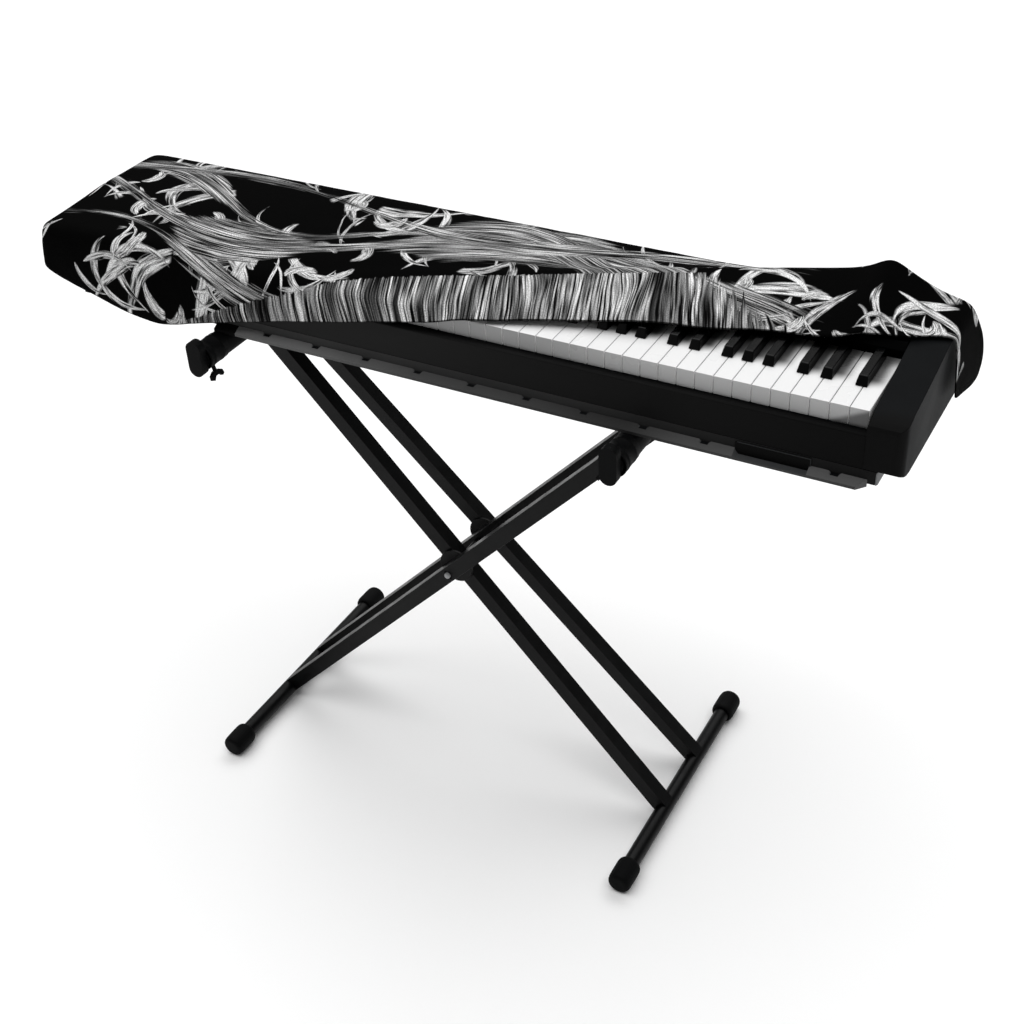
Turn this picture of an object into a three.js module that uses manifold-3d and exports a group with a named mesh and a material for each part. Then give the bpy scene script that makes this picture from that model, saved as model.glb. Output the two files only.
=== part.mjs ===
// A stretch-cloth dust cover lying skewed on a 76-key keyboard, on its folding double-X stand.
// Millimetres, +Z up. The origin is on the floor, under the middle of the whole set.
import * as THREE from 'three';
import { mergeVertices } from 'three/addons/utils/BufferGeometryUtils.js';
import Module from 'manifold-3d';

const wasm = await Module();
wasm.setup();

// Gap between pieces that touch
const gap = 0.3;

// Keyboard. Its own axes start at the right end of the white keys' front top edge,
// with Y to the back and Z up.
const keyTopHeight = 830;
const keyPitch = 23.5;
const whiteKeyCount = 45;
const whiteKeyLength = 125.7;
const whiteKeyHeight = 24;
const keyGroove = { width: 0.9, depth: 8 };
const blackKey = { width: 15, front: 46, height: 12, slope: 6 };
// How far each black key of an octave stands to the right of the gap below it
const blackKeyShifts = { 0: 0, 1: -2.1, 3: 3, 4: -2.1, 6: 2.5 };
const blackStrip = 4;
const bodyLeft = -1205;
const bodyRight = 47;
const bodyFront = -10;
const bodyRear = 238;
const bodyBottom = -94;
const deckBottom = -72;
const panelTop = 18.5;
const panelFront = 126;
const cheekLeft = 2;
const cheekBottom = -84;
// The end cheek's lower front edge, as places to the back and heights over its underside
const cheekUndercut = [[-13, 15], [-8, 11.5], [0, 7.5], [10, 3.5], [22, 1.5]];
const cheekCorner = 16;
const trayInset = 40;
const ledge = { front: -22, top: -84, lip: -90, inset: 285, right: 8, bevel: 10, wall: 2 };
const notch = { left: -148, right: -61, floor: 3 };

// Stand. Its own axes start on the floor under its pivot, Y to the back.
const standX = -603;
const standY = 99;
const legSize = 23;
const legBottomReach = 341;
const legTopReach = 305;
const legTopDrop = 140;
const legEndDrop = 119;
// A row for each leg: the side of its upper end, its front face at the pivot, and how much
// further back its top is than its foot
const legColumns = ['name', 'topSide', 'frontY', 'lean'];
const legTable = [
  ['leg_front_left_top', -1, -39.1, 21],
  ['leg_front_right_top', 1, -67, 0],
  ['leg_back_left_top', -1, 49.9, -36],
  ['leg_back_right_top', 1, 22, 0],
];
const barRadius = 12;
const barHalf = 206;
const barShift = 10;
const cap = { radius: 18, length: 44, flat: 1.5, rim: 3, bore: 30 };
const armPlaces = { left: -311, right: 315 };
const armTubeRadius = 10;
const sleeveRadius = 18;
const armFront = -138;
const armBack = 158;
const sleeveFront = armFront + gap;
const sleeveBack = 148;
const stop = { width: 24, height: 54, thickness: 13, collarRadius: 15, collarLength: 26, lift: 3 };
// The knobs hang on the inner side of each arm: the turn of the wing, and how far each leans in
const knob = { stemRadius: 3, stemLength: 12, thickness: 5.5 };
const knobTurns = { left: 1.6, right: 1.5 };
const knobTilts = { left: -0.3, right: 0.6 };
// Half the outline of the knob's wing, across and up from its lower edge
const wingOutline = [[4, 6], [9, 1], [13, 3], [12, 9], [5, 13]];
const arcSteps = 10;
const hinge = { radius: 27, thickness: 4, boltRadius: 6, boltHeight: 5, rodRadius: 6 };

// Cover. The table has a row for each cross-section, from the left end to the right.
// In a row are the front hem, a point halfway up the front skirt, the crease where the skirt
// folds up into the top panel, and the height of the rear hem. The cover lies askew: its front
// hem hangs below the keyboard on the left, crosses the keys, and ends on the rear deck.
const clothThickness = 2;
const sectionColumns = ['x', 'hemY', 'hemZ', 'midY', 'midZ', 'creaseY', 'creaseZ', 'rearHemZ'];
const sectionTable = [
  [-1211, -26, -58, -27, -52, -27, -45, -62],
  [-1180, -27, -65, -28, -59, -28, -52, -64],
  [-1140, -28, -74, -29, -68, -29, -60, -70],
  [-1095, -29, -86, -30, -80, -30, -71, -66],
  [-1055, -30, -94, -31, -88, -31, -80, -72],
  [-1010, -30, -98, -31, -93, -31, -86, -78],
  [-960, -28, -88, -30, -82, -29, -74, -72],
  [-910, -25, -76, -28, -65, -27, -52, -76],
  [-860, -20, -67, -24, -50, -24, -30, -82],
  [-810, -18, -56, -21, -34, -20, -11, -76],
  [-770, -18, -48, -17, -22, -12, 2, -80],
  [-735, -17, -41, -11, -3, 6, 11.5, -84],
  [-696, -17, -33, -9, 6, 24, 14.5, -80],
  [-656, -16, -24, -8, 7.5, 41, 17, -76],
  [-612, -15, -15, -7, 8, 60, 19.5, -82],
  [-565, -12, -7, 2, 10.5, 76, 22, -86],
  [-511, -7, 5.5, 38, 14.5, 95, 24, -82],
  [-455, 14, 7, 54, 17, 117, 26.5, -78],
  [-394, 33, 10, 68, 18, 144, 28, -84],
  [-345, 45, 14.5, 84, 19, 166, 29, -88],
  [-283, 63, 17, 110, 22.5, 189, 31, -84],
  [-225, 73, 17, 130, 25, 210, 33, -80],
  [-161, 96, 17, 146, 28, 228, 38, -84],
  [-112, 102, 18.5, 156, 31, 235, 45, -88],
  [-80, 105, 21.5, 166, 38, 237, 53, -84],
  [-55, 121, 24, 175, 47, 238, 67, -80],
  [-30, 129, 24, 178, 39, 238, 55, -84],
  [0, 138, 23, 178, 29, 238, 40, -86],
  [43, 157, 23, 192, 25, 238, 28, -82],
];
const rowSteps = 2;
const skirtSteps = 6;
// Where the cloth bends over the front edge, on the keys and on the higher left block
const keyEdge = { y: -7, z: 7.5 };
const blockEdge = { y: -18, z: 14 };
const blockBlend = { from: -1050, to: -995 };
// The height at which the taut top panel lies, from the front edge to the back
const restProfile = [[50, 16], [130, 22], [232, 22]];
// Distances from the front edge at which the top panel has its points, less than 0 in front of it
const topStations = [-62, -34, -9, 8, 28, 56, 94, 138, 172, 205, 233];
const stationsInFront = topStations.filter((station) => station < 0).length;
// The left flap joins the front edge to the rear one, so both have as many points
const rearSteps = skirtSteps + stationsInFront;
const rearShoulder = [[236.5, 21.5], [241, 17.5]];
// How the cloth behind a raised crease falls away, and how far it pushes the rear shoulder back
const creaseFall = 16;
const shoulderPush = { from: 195, to: 238, size: 7 };
const rearBulge = 5;
const frontBulge = 3;
// The right end flap, a row for each step down: how far out and down it is at its front edge
// and at the rear corner
const rightFlapColumns = ['frontX', 'frontY', 'frontZ', 'rearX', 'rearY', 'rearZ'];
const rightFlapTable = [
  [50.5, 157, 21.2, 52.5, 245.5, 13],
  [53.5, 156, 8, 58, 249, -3],
  [55.5, 157, -12, 62.5, 252, -20],
  [57, 158, -32, 65, 254.5, -42],
  [58, 160, -50, 66, 256, -63],
  [58.5, 162, -60, 64.5, 256.5, -84],
];
const leftFlapLean = 4;
// Soft folds that stand up out of the top panel, a row for each
const foldColumns = ['x', 'y', 'height', 'reachX', 'reachY'];
const foldTable = [
  [-1150, 70, 1.5, 60, 45],
  [-640, 215, 1.2, 110, 26],
  [-1010, 40, 1.2, 45, 60],
];
const rearWave = { size: 3.5, length: 168, steps: 0.9 };
const hemWave = { size: 1.2, length: 74 };

const colours = {
  cloth: 0x1a1a1b, body: 0x19191b, ledge: 0x47454a, white: 0xeeeeec, black: 0x0c0c0d,
  paint: 0x1b1b1d, rubber: 0x111112, steel: 0x6d6e70,
};

function material(color, roughness, metalness = 0) {
  return new THREE.MeshStandardMaterial({ color, roughness, metalness });
}

const cloth = material(colours.cloth, 0.85);
const bodyPlastic = material(colours.body, 0.55);
const ledgePlastic = material(colours.ledge, 0.6);
const whitePlastic = material(colours.white, 0.3);
const blackPlastic = material(colours.black, 0.35);
const paint = material(colours.paint, 0.45, 0.3);
const rubber = material(colours.rubber, 0.8);
const steel = material(colours.steel, 0.35, 0.9);

function lerp(a, b, t) {
  return a + (b - a) * t;
}

function closed(geometry) {
  const copy = geometry.clone();
  copy.deleteAttribute('normal');
  copy.deleteAttribute('uv');
  return mergeVertices(copy, 1e-4);
}

function solidOf(geometry) {
  const merged = closed(geometry);
  return new wasm.Manifold(new wasm.Mesh({
    numProp: 3,
    vertProperties: new Float32Array(merged.attributes.position.array),
    triVerts: new Uint32Array(merged.index.array),
  }));
}

function geometryOf(solid) {
  const { vertProperties, triVerts } = solid.getMesh();
  const geometry = new THREE.BufferGeometry();
  geometry.setAttribute('position', new THREE.BufferAttribute(new Float32Array(vertProperties), 3));
  geometry.setIndex(new THREE.BufferAttribute(new Uint32Array(triVerts), 1));
  return geometry;
}

function cut(geometry, ...tools) {
  return geometryOf(tools.reduce((solid, tool) => solid.subtract(solidOf(tool)), solidOf(geometry)));
}

function join(geometry, ...others) {
  return geometryOf(others.reduce((solid, other) => solid.add(solidOf(other)), solidOf(geometry)));
}

function outline(points) {
  return new THREE.Shape(points.map(([a, b]) => new THREE.Vector2(a, b)));
}

// An outline in Y and Z, carried along X
function alongX(points, x0, x1) {
  const geometry = new THREE.ExtrudeGeometry(outline(points), { depth: x1 - x0, bevelEnabled: false });
  return geometry.applyMatrix4(new THREE.Matrix4().set(0, 0, 1, x0, 1, 0, 0, 0, 0, 1, 0, 0, 0, 0, 0, 1));
}

// An outline in X and Z, carried along Y
function alongY(points, y0, y1) {
  const geometry = new THREE.ExtrudeGeometry(outline(points), { depth: y1 - y0, bevelEnabled: false });
  return geometry.applyMatrix4(new THREE.Matrix4().set(1, 0, 0, 0, 0, 0, -1, y1, 0, 1, 0, 0, 0, 0, 0, 1));
}

// An outline in X and Y, carried up Z
function alongZ(points, z0, z1) {
  const geometry = new THREE.ExtrudeGeometry(outline(points), { depth: z1 - z0, bevelEnabled: false });
  return geometry.translate(0, 0, z0);
}

function block(x0, x1, y0, y1, z0, z1) {
  return alongZ([[x0, y0], [x1, y0], [x1, y1], [x0, y1]], z0, z1);
}

// A round bar along Y
function rodY(radius, y0, y1, sides = 24) {
  return new THREE.CylinderGeometry(radius, radius, y1 - y0, sides).translate(0, (y0 + y1) / 2, 0);
}

function node(name, geometry, finish) {
  const mesh = new THREE.Mesh(geometry, finish);
  mesh.name = name;
  return mesh;
}

// Smooth curve through values at uneven places, with level ends
function curveThrough(places, values, at) {
  let k = 0;
  while (k < places.length - 2 && at > places[k + 1]) k += 1;
  const span = places[k + 1] - places[k];
  const t = Math.min(1, Math.max(0, (at - places[k]) / span));
  const slope = (i) => {
    if (i === 0 || i === places.length - 1) return 0;
    const before = (values[i] - values[i - 1]) / (places[i] - places[i - 1]);
    const after = (values[i + 1] - values[i]) / (places[i + 1] - places[i]);
    return before * after <= 0 ? 0 : 2 * before * after / (before + after);
  };
  const t2 = t * t;
  const t3 = t2 * t;
  return (2 * t3 - 3 * t2 + 1) * values[k] + (t3 - 2 * t2 + t) * span * slope(k)
    + (3 * t2 - 2 * t3) * values[k + 1] + (t3 - t2) * span * slope(k + 1);
}

// Cover

function rowAt(x) {
  const places = sectionTable.map((row) => row[0]);
  const row = {};
  sectionColumns.forEach((name, k) => {
    row[name] = k === 0 ? x : curveThrough(places, sectionTable.map((values) => values[k]), x);
  });
  return row;
}

function foldHeight(x, y) {
  return foldTable.reduce((sum, values) => {
    const fold = Object.fromEntries(foldColumns.map((name, k) => [name, values[k]]));
    const across = ((x - fold.x) / fold.reachX) ** 2 + ((y - fold.y) / fold.reachY) ** 2;
    return sum + fold.height * Math.exp(-across);
  }, 0);
}

function frontEdgeAt(x) {
  const t = THREE.MathUtils.smoothstep(x, blockBlend.from, blockBlend.to);
  return { y: lerp(blockEdge.y, keyEdge.y, t), z: lerp(blockEdge.z, keyEdge.z, t) };
}

// A point of the front skirt, from the hem at 0 to the crease at 1
function skirtPoint(row, t) {
  const through = (a, b, c) => (t < 0.5 ? lerp(a, b, 2 * t) : lerp(b, c, 2 * t - 1));
  const wave = hemWave.size * (1 - t) * Math.sin(row.x / hemWave.length * 2 * Math.PI);
  const y = through(row.hemY, row.midY, row.creaseY);
  const z = through(row.hemZ, row.midZ, row.creaseZ);
  return [row.x, row.hemZ < 0 ? y - Math.abs(wave) : y, row.hemZ < 0 ? z : z + Math.abs(wave)];
}

function restHeight(x, y) {
  const edge = frontEdgeAt(x);
  const rest = [[edge.y, edge.z], ...restProfile];
  return curveThrough(rest.map((point) => point[0]), rest.map((point) => point[1]), y);
}

function isHanging(row) {
  const edge = frontEdgeAt(row.x);
  return row.creaseY < edge.y + 2 && row.creaseZ < edge.z;
}

// How much the crease lifts the cloth behind it
function creaseLift(row, y) {
  if (isHanging(row)) return 0;
  return (row.creaseZ - restHeight(row.x, row.creaseY)) * Math.exp(-(((y - row.creaseY) / creaseFall) ** 2));
}

function shoulderPoints(row) {
  const push = shoulderPush.size
    * THREE.MathUtils.smoothstep(row.creaseY, shoulderPush.from, shoulderPush.to);
  return rearShoulder.map(([y, z]) => [row.x, y + push, z + creaseLift(row, y + push)]);
}

// Points of the top panel, from just past the crease to the rear shoulder
function topPoints(row) {
  const edge = frontEdgeAt(row.x);
  const drop = Math.hypot(row.creaseY - edge.y, row.creaseZ - edge.z);
  const start = isHanging(row) ? -drop : row.creaseY - edge.y;
  const end = shoulderPoints(row)[0][1] - edge.y;
  return topStations.map((station, k) => {
    const share = (k + 1) / (topStations.length + 1);
    const along = Math.min(Math.max(station, lerp(start, end, share * 0.75)), lerp(start, end, share));
    if (along < 0) {
      const t = along / start;
      const out = frontBulge * Math.sin(Math.PI * t);
      return [row.x, lerp(edge.y, row.creaseY, t) - out, lerp(edge.z, row.creaseZ, t)];
    }
    const y = edge.y + along;
    return [row.x, y, restHeight(row.x, y) + creaseLift(row, y) + foldHeight(row.x, y)];
  });
}

function rearPoints(row) {
  const [, topY, topZ] = shoulderPoints(row)[1];
  const points = [];
  for (let k = 1; k <= rearSteps; k += 1) {
    const t = k / rearSteps;
    const wave = rearWave.size * t * Math.sin(row.x / rearWave.length * 2 * Math.PI + rearWave.steps * t);
    const y = topY + rearBulge * Math.sqrt(t) + Math.max(-2, wave);
    points.push([row.x, y, lerp(topZ, row.rearHemZ, t)]);
  }
  return points;
}

// A whole cross-section: front hem, crease, top panel, rear shoulder, rear hem
function section(x) {
  const row = rowAt(x);
  const skirt = [];
  for (let k = 0; k <= skirtSteps; k += 1) skirt.push(skirtPoint(row, k / skirtSteps));
  return [...skirt, ...topPoints(row), ...shoulderPoints(row), ...rearPoints(row)];
}

function leftFlap(column, first, last) {
  const frontEdge = column.slice(0, first + 1).reverse();
  const rearEdge = column.slice(last);
  return column.slice(first, last + 1).map((top, j, all) => {
    const t = j / (all.length - 1);
    return frontEdge.map((front, k) => {
      if (j === 0) return front;
      if (j === all.length - 1) return rearEdge[k];
      const across = (top[1] - all[0][1]) / (all[all.length - 1][1] - all[0][1]);
      const down = lerp(front[2] - frontEdge[0][2], rearEdge[k][2] - rearEdge[0][2], across);
      const lean = leftFlapLean * Math.sin(Math.PI * t) * Math.sqrt(k / rearSteps);
      return [top[0] - lean, top[1], top[2] + down];
    });
  });
}

function rightFlap(column, last) {
  const places = rightFlapTable.map((values, k) => (k + 1) / rightFlapTable.length);
  const steps = [];
  for (let step = 0; step < rearSteps; step += 1) {
    const at = lerp(places[0], 1, step / (rearSteps - 1));
    steps.push(Object.fromEntries(rightFlapColumns.map((name, k) => (
      [name, curveThrough(places, rightFlapTable.map((values) => values[k]), at)]))));
  }
  const frontTop = column[0];
  const rearTop = column[last];
  return column.slice(0, last + 1).map((top) => {
    const across = (top[1] - frontTop[1]) / (rearTop[1] - frontTop[1]);
    return [top, ...steps.map((step, k) => {
      const t = (k + 1) / steps.length;
      const lift = (top[2] - lerp(frontTop[2], rearTop[2], across)) * (1 - t) ** 2;
      return [
        lerp(step.frontX, step.rearX, across),
        lerp(step.frontY, step.rearY, across),
        lerp(step.frontZ, step.rearZ, across) + lift,
      ];
    })];
  });
}

// A sheet of rows of points, all rows with the same number, as faces of four corners
function patchFaces(rows, vertices, flip) {
  const index = rows.map((points) => points.map((point) => vertices.at(point)));
  const faces = [];
  for (let i = 0; i < index.length - 1; i += 1) {
    for (let j = 0; j < index[i].length - 1; j += 1) {
      const face = [index[i][j], index[i + 1][j], index[i + 1][j + 1], index[i][j + 1]];
      faces.push(flip ? face.reverse() : face);
    }
  }
  return faces;
}

function vertexStore() {
  const places = [];
  const known = new Map();
  return {
    places,
    at(point) {
      const key = point.map((value) => value.toFixed(3)).join(' ');
      if (!known.has(key)) {
        known.set(key, places.length);
        places.push(new THREE.Vector3(...point));
      }
      return known.get(key);
    },
  };
}

// The sheet given its thickness: an outer skin, an inner skin and a rim along every free edge
function thicken(places, faces, thickness) {
  const normals = places.map(() => new THREE.Vector3());
  const triangles = faces.flatMap(([a, b, c, d]) => [[a, b, c], [a, c, d]])
    .filter(([a, b, c]) => a !== b && b !== c && a !== c);
  const edges = new Map();
  for (const [a, b, c] of triangles) {
    const face = new THREE.Vector3().subVectors(places[b], places[a])
      .cross(new THREE.Vector3().subVectors(places[c], places[a]));
    for (const k of [a, b, c]) normals[k].add(face);
    for (const [p, q] of [[a, b], [b, c], [c, a]]) edges.set(`${p} ${q}`, [p, q]);
  }
  const positions = [];
  for (const side of [0.5, -0.5]) {
    places.forEach((place, k) => {
      const out = normals[k].clone().normalize().multiplyScalar(side * thickness);
      positions.push(place.x + out.x, place.y + out.y, place.z + out.z);
    });
  }
  const inner = places.length;
  const index = triangles.flatMap(([a, b, c]) => [a, b, c, inner + a, inner + c, inner + b]);
  for (const [p, q] of edges.values()) {
    if (!edges.has(`${q} ${p}`)) index.push(p, inner + p, inner + q, p, inner + q, q);
  }
  const geometry = new THREE.BufferGeometry();
  geometry.setAttribute('position', new THREE.Float32BufferAttribute(positions, 3));
  geometry.setIndex(index);
  return geometry;
}

function coverStations() {
  const stations = [];
  sectionTable.forEach(([x], k) => {
    if (k === 0) return;
    const before = sectionTable[k - 1][0];
    for (let step = 0; step < rowSteps; step += 1) stations.push(lerp(before, x, step / rowSteps));
  });
  return [...stations, sectionTable[sectionTable.length - 1][0]];
}

function coverGeometry() {
  const sections = coverStations().map(section);
  const frontEdge = skirtSteps + stationsInFront;
  const shoulder = sections[0].length - 1 - rearSteps;
  const vertices = vertexStore();
  const faces = [
    ...patchFaces(sections, vertices, false),
    ...patchFaces(leftFlap(sections[0], frontEdge, shoulder), vertices, false),
    ...patchFaces(rightFlap(sections[sections.length - 1], shoulder), vertices, true),
  ];
  return thicken(vertices.places, faces, clothThickness);
}

// Keyboard

function keyboardParts() {
  const keysLeft = -keyPitch * whiteKeyCount;
  const parts = [];

  const base = alongX([
    [bodyFront + 8, bodyBottom], [bodyRear - 6, bodyBottom], [bodyRear, bodyBottom + 6],
    [bodyRear, deckBottom], [bodyFront, deckBottom], [bodyFront, ledge.top], [bodyFront, ledge.lip],
  ], bodyLeft + trayInset, cheekLeft + 15);
  parts.push(node('base_tray', base, bodyPlastic));

  const ledgeBar = alongX([
    [bodyFront - gap, ledge.top], [ledge.front, ledge.lip], [ledge.front, bodyBottom],
    [bodyFront - gap, bodyBottom],
  ], bodyLeft + ledge.inset, ledge.right);
  const oblique = alongZ([
    [ledge.right - ledge.bevel, ledge.front - 1], [ledge.right + 1, ledge.front - 1],
    [ledge.right + 1, bodyFront],
  ], bodyBottom - 1, ledge.top + 1);
  const opening = block(notch.left, notch.right, ledge.front - 1, bodyFront - ledge.wall,
    bodyBottom + notch.floor, ledge.top + 1);
  parts.push(node('front_ledge', cut(ledgeBar, oblique, opening), ledgePlastic));

  const rail = alongX([
    [bodyFront, deckBottom + gap], [-0.7, deckBottom + gap], [-0.7, -whiteKeyHeight - gap],
    [bodyFront + 2, -whiteKeyHeight - 2], [bodyFront, -whiteKeyHeight - 4],
  ], keysLeft, cheekLeft - gap);
  parts.push(node('front_rail', rail, bodyPlastic));

  parts.push(node('key_bed', block(keysLeft, 0, -0.4, panelFront - gap, deckBottom + gap,
    -whiteKeyHeight - gap), bodyPlastic));

  parts.push(node('white_keys', whiteKeysGeometry(), whitePlastic));
  parts.push(node('black_keys', blackKeysGeometry(), blackPlastic));

  parts.push(node('rear_deck', alongX([
    [panelFront, deckBottom + gap], [bodyRear, deckBottom + gap], [bodyRear, panelTop - 4],
    [bodyRear - 4, panelTop], [panelFront + 8, panelTop], [panelFront, panelTop - 8.5],
  ], keysLeft, cheekLeft - gap), bodyPlastic));

  parts.push(node('left_block', alongX([
    [bodyFront, deckBottom + gap], [bodyRear, deckBottom + gap], [bodyRear, panelTop - 4],
    [bodyRear - 4, panelTop], [panelFront + 8, panelTop], [60, 12], [-8, 9], [-12, 5], [-12, -62],
  ], bodyLeft, keysLeft - gap), bodyPlastic));

  parts.push(node('right_cheek', cheekGeometry(), bodyPlastic));
  return parts;
}

// The row of white keys as one block with a groove between each key and the next
function whiteKeysGeometry() {
  const half = keyGroove.width / 2;
  const points = [[-keyPitch * whiteKeyCount + half, -whiteKeyHeight], [-half, -whiteKeyHeight]];
  for (let k = 0; k < whiteKeyCount; k += 1) {
    const right = -keyPitch * k - half;
    const left = -keyPitch * (k + 1) + half;
    if (k > 0) points.push([right, -keyGroove.depth]);
    points.push([right, 0], [left, 0]);
    if (k < whiteKeyCount - 1) points.push([left, -keyGroove.depth]);
  }
  return alongY(points, 0, whiteKeyLength);
}

// Counted from the right end, the gaps between white keys that have a black key above them
function hasBlackKey(boundary) {
  return boundary % 7 in blackKeyShifts;
}

// The black keys, joined by the narrow strip of felt and frame behind them
function blackKeysGeometry() {
  const rear = whiteKeyLength;
  const points = [[-keyPitch * whiteKeyCount + 1, rear], [-keyPitch * whiteKeyCount + 1, rear - blackStrip]];
  for (let boundary = whiteKeyCount - 1; boundary > 0; boundary -= 1) {
    if (!hasBlackKey(boundary)) continue;
    const left = -keyPitch * boundary + blackKeyShifts[boundary % 7] - blackKey.width / 2;
    const right = left + blackKey.width;
    points.push([left, rear - blackStrip], [left, blackKey.front]);
    points.push([right, blackKey.front], [right, rear - blackStrip]);
  }
  points.push([-1, rear - blackStrip], [-1, rear]);
  const comb = alongZ(points, gap, blackKey.height);
  const slope = alongX([
    [blackKey.front - 1, gap], [blackKey.front, gap], [blackKey.front + blackKey.slope, blackKey.height + 0.01],
    [blackKey.front - 1, blackKey.height + 0.01],
  ], -keyPitch * whiteKeyCount, 0);
  return cut(comb, slope);
}

// The end cheek: its side outline, with the front corner rounded in plan
function cheekGeometry() {
  const side = alongX([
    ...cheekUndercut.map(([y, height]) => [y, cheekBottom + height]),
    [bodyRear - 5, cheekBottom], [bodyRear, cheekBottom + 5],
    [bodyRear, panelTop - 4], [bodyRear - 4, panelTop], [panelFront + 20, panelTop], [92, 9], [45, 2],
    [14, -2], [-4, -8], [-11, -12], [-13, -17],
  ], cheekLeft, bodyRight);
  const plan = [[cheekLeft - 1, -14], [bodyRight - cheekCorner, -14]];
  for (let k = 1; k <= 6; k += 1) {
    const angle = (k / 6) * Math.PI / 2;
    plan.push([
      bodyRight - cheekCorner + cheekCorner * Math.sin(angle),
      -14 + cheekCorner - cheekCorner * Math.cos(angle),
    ]);
  }
  plan.push([bodyRight, bodyRear + 1], [cheekLeft - 1, bodyRear + 1]);
  const solid = solidOf(side).intersect(solidOf(alongZ(plan, cheekBottom - 1, panelTop + 1)));
  const underTray = block(cheekLeft - 1, cheekLeft + 15 + gap, bodyFront - 5, bodyRear + 1,
    cheekBottom - 1, deckBottom + gap);
  return cut(geometryOf(solid), underTray);
}

// Stand

const footHeight = cap.radius - cap.flat;
const legTopZ = keyTopHeight - legTopDrop;
const armZ = keyTopHeight + bodyBottom - gap - sleeveRadius;
const pivotZ = lerp(legTopZ, footHeight, legTopReach / (legTopReach + legBottomReach));

// A leg goes from one foot bar, past the pivot, up to the arm on the other side
function legGeometry({ topSide, frontY, lean }) {
  const slope = (legBottomReach + legTopReach) / (legTopZ - footHeight);
  const endZ = keyTopHeight - legEndDrop;
  const endX = legTopReach + slope * (endZ - legTopZ);
  const along = new THREE.Vector2(endX + legBottomReach, endZ - footHeight);
  const geometry = new THREE.BoxGeometry(legSize, legSize, along.length());
  geometry.rotateY(topSide * Math.atan2(along.x, along.y));
  geometry.translate(topSide * (endX - legBottomReach) / 2, frontY + legSize / 2, (endZ + footHeight) / 2);
  const tilt = lean / (legTopZ - footHeight);
  geometry.applyMatrix4(new THREE.Matrix4().set(1, 0, 0, 0, 0, 1, tilt, -tilt * pivotZ, 0, 0, 1, 0, 0, 0, 0, 1));
  const bar = rodY(barRadius + gap, -barHalf, barHalf).translate(-topSide * legBottomReach, 0, footHeight);
  const sleeve = rodY(sleeveRadius + gap, sleeveFront - 1, sleeveBack + 1)
    .translate(topSide > 0 ? armPlaces.right : armPlaces.left, 0, armZ);
  const plates = hingePlanes().map(([y0, y1]) => (
    rodY(hinge.radius + gap, y0 - gap, y1 + gap, 32).translate(0, 0, pivotZ)));
  return cut(geometry, bar, sleeve, ...plates);
}

function legRows() {
  return legTable.map((values) => Object.fromEntries(legColumns.map((name, k) => [name, values[k]])));
}

// The front and back of the plate between the two legs of each crossed pair
function hingePlanes() {
  return legRows().filter(({ topSide }) => topSide > 0)
    .map(({ frontY }) => [frontY + legSize + gap, frontY + legSize + gap + hinge.thickness]);
}

// A rubber cap with its mouth at 0 and its closed end to the front
function capGeometry() {
  const profile = [
    [0, -cap.bore], [barRadius + gap, -cap.bore], [barRadius + gap, 0],
    [cap.radius - cap.rim, 0], [cap.radius, -cap.rim], [cap.radius, 7 - cap.length],
    [cap.radius - 2, 3 - cap.length], [cap.radius - 7, -cap.length], [0, -cap.length],
  ];
  const geometry = facingOut(new THREE.LatheGeometry(outline(profile).getPoints(), 24));
  const flat = block(-cap.radius, cap.radius, -cap.length - 1, 1, -cap.radius - 1, -footHeight);
  return cut(geometry, flat);
}

function facingOut(geometry) {
  const merged = closed(geometry);
  const index = merged.index.array;
  const p = merged.attributes.position;
  let volume = 0;
  for (let k = 0; k < index.length; k += 3) {
    const [a, b, c] = [0, 1, 2].map((n) => new THREE.Vector3().fromBufferAttribute(p, index[k + n]));
    volume += a.dot(b.cross(c));
  }
  if (volume < 0) {
    for (let k = 0; k < index.length; k += 3) [index[k], index[k + 1]] = [index[k + 1], index[k]];
  }
  return merged;
}

// A stadium-shaped plate with the round collar behind it that slides on the arm
function stopGeometry() {
  const points = [];
  const straight = stop.height / 2 - stop.width / 2;
  for (const end of [1, -1]) {
    for (let k = 0; k <= arcSteps; k += 1) {
      const angle = (end > 0 ? 0 : Math.PI) + (k / arcSteps) * Math.PI;
      points.push([Math.cos(angle) * stop.width / 2, Math.sin(angle) * stop.width / 2 + end * straight]);
    }
  }
  const plate = alongY(points, -stop.thickness, 0).translate(0, 0, stop.lift);
  return join(plate, rodY(stop.collarRadius, -1, stop.collarLength, 20));
}

// A wing knob that hangs from 0 on a short stem
function knobGeometry() {
  const wingHeight = wingOutline[wingOutline.length - 1][1];
  const stem = new THREE.CylinderGeometry(knob.stemRadius, knob.stemRadius, knob.stemLength + 2, 10);
  stem.rotateX(Math.PI / 2).translate(0, 0, -knob.stemLength / 2 - 1);
  const left = wingOutline.map(([across, up]) => [-across, up]).reverse();
  const points = [...left, ...wingOutline].map(([across, up]) => [across, up - knob.stemLength - wingHeight]);
  return join(stem, alongY(points, -knob.thickness / 2, knob.thickness / 2));
}

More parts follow.
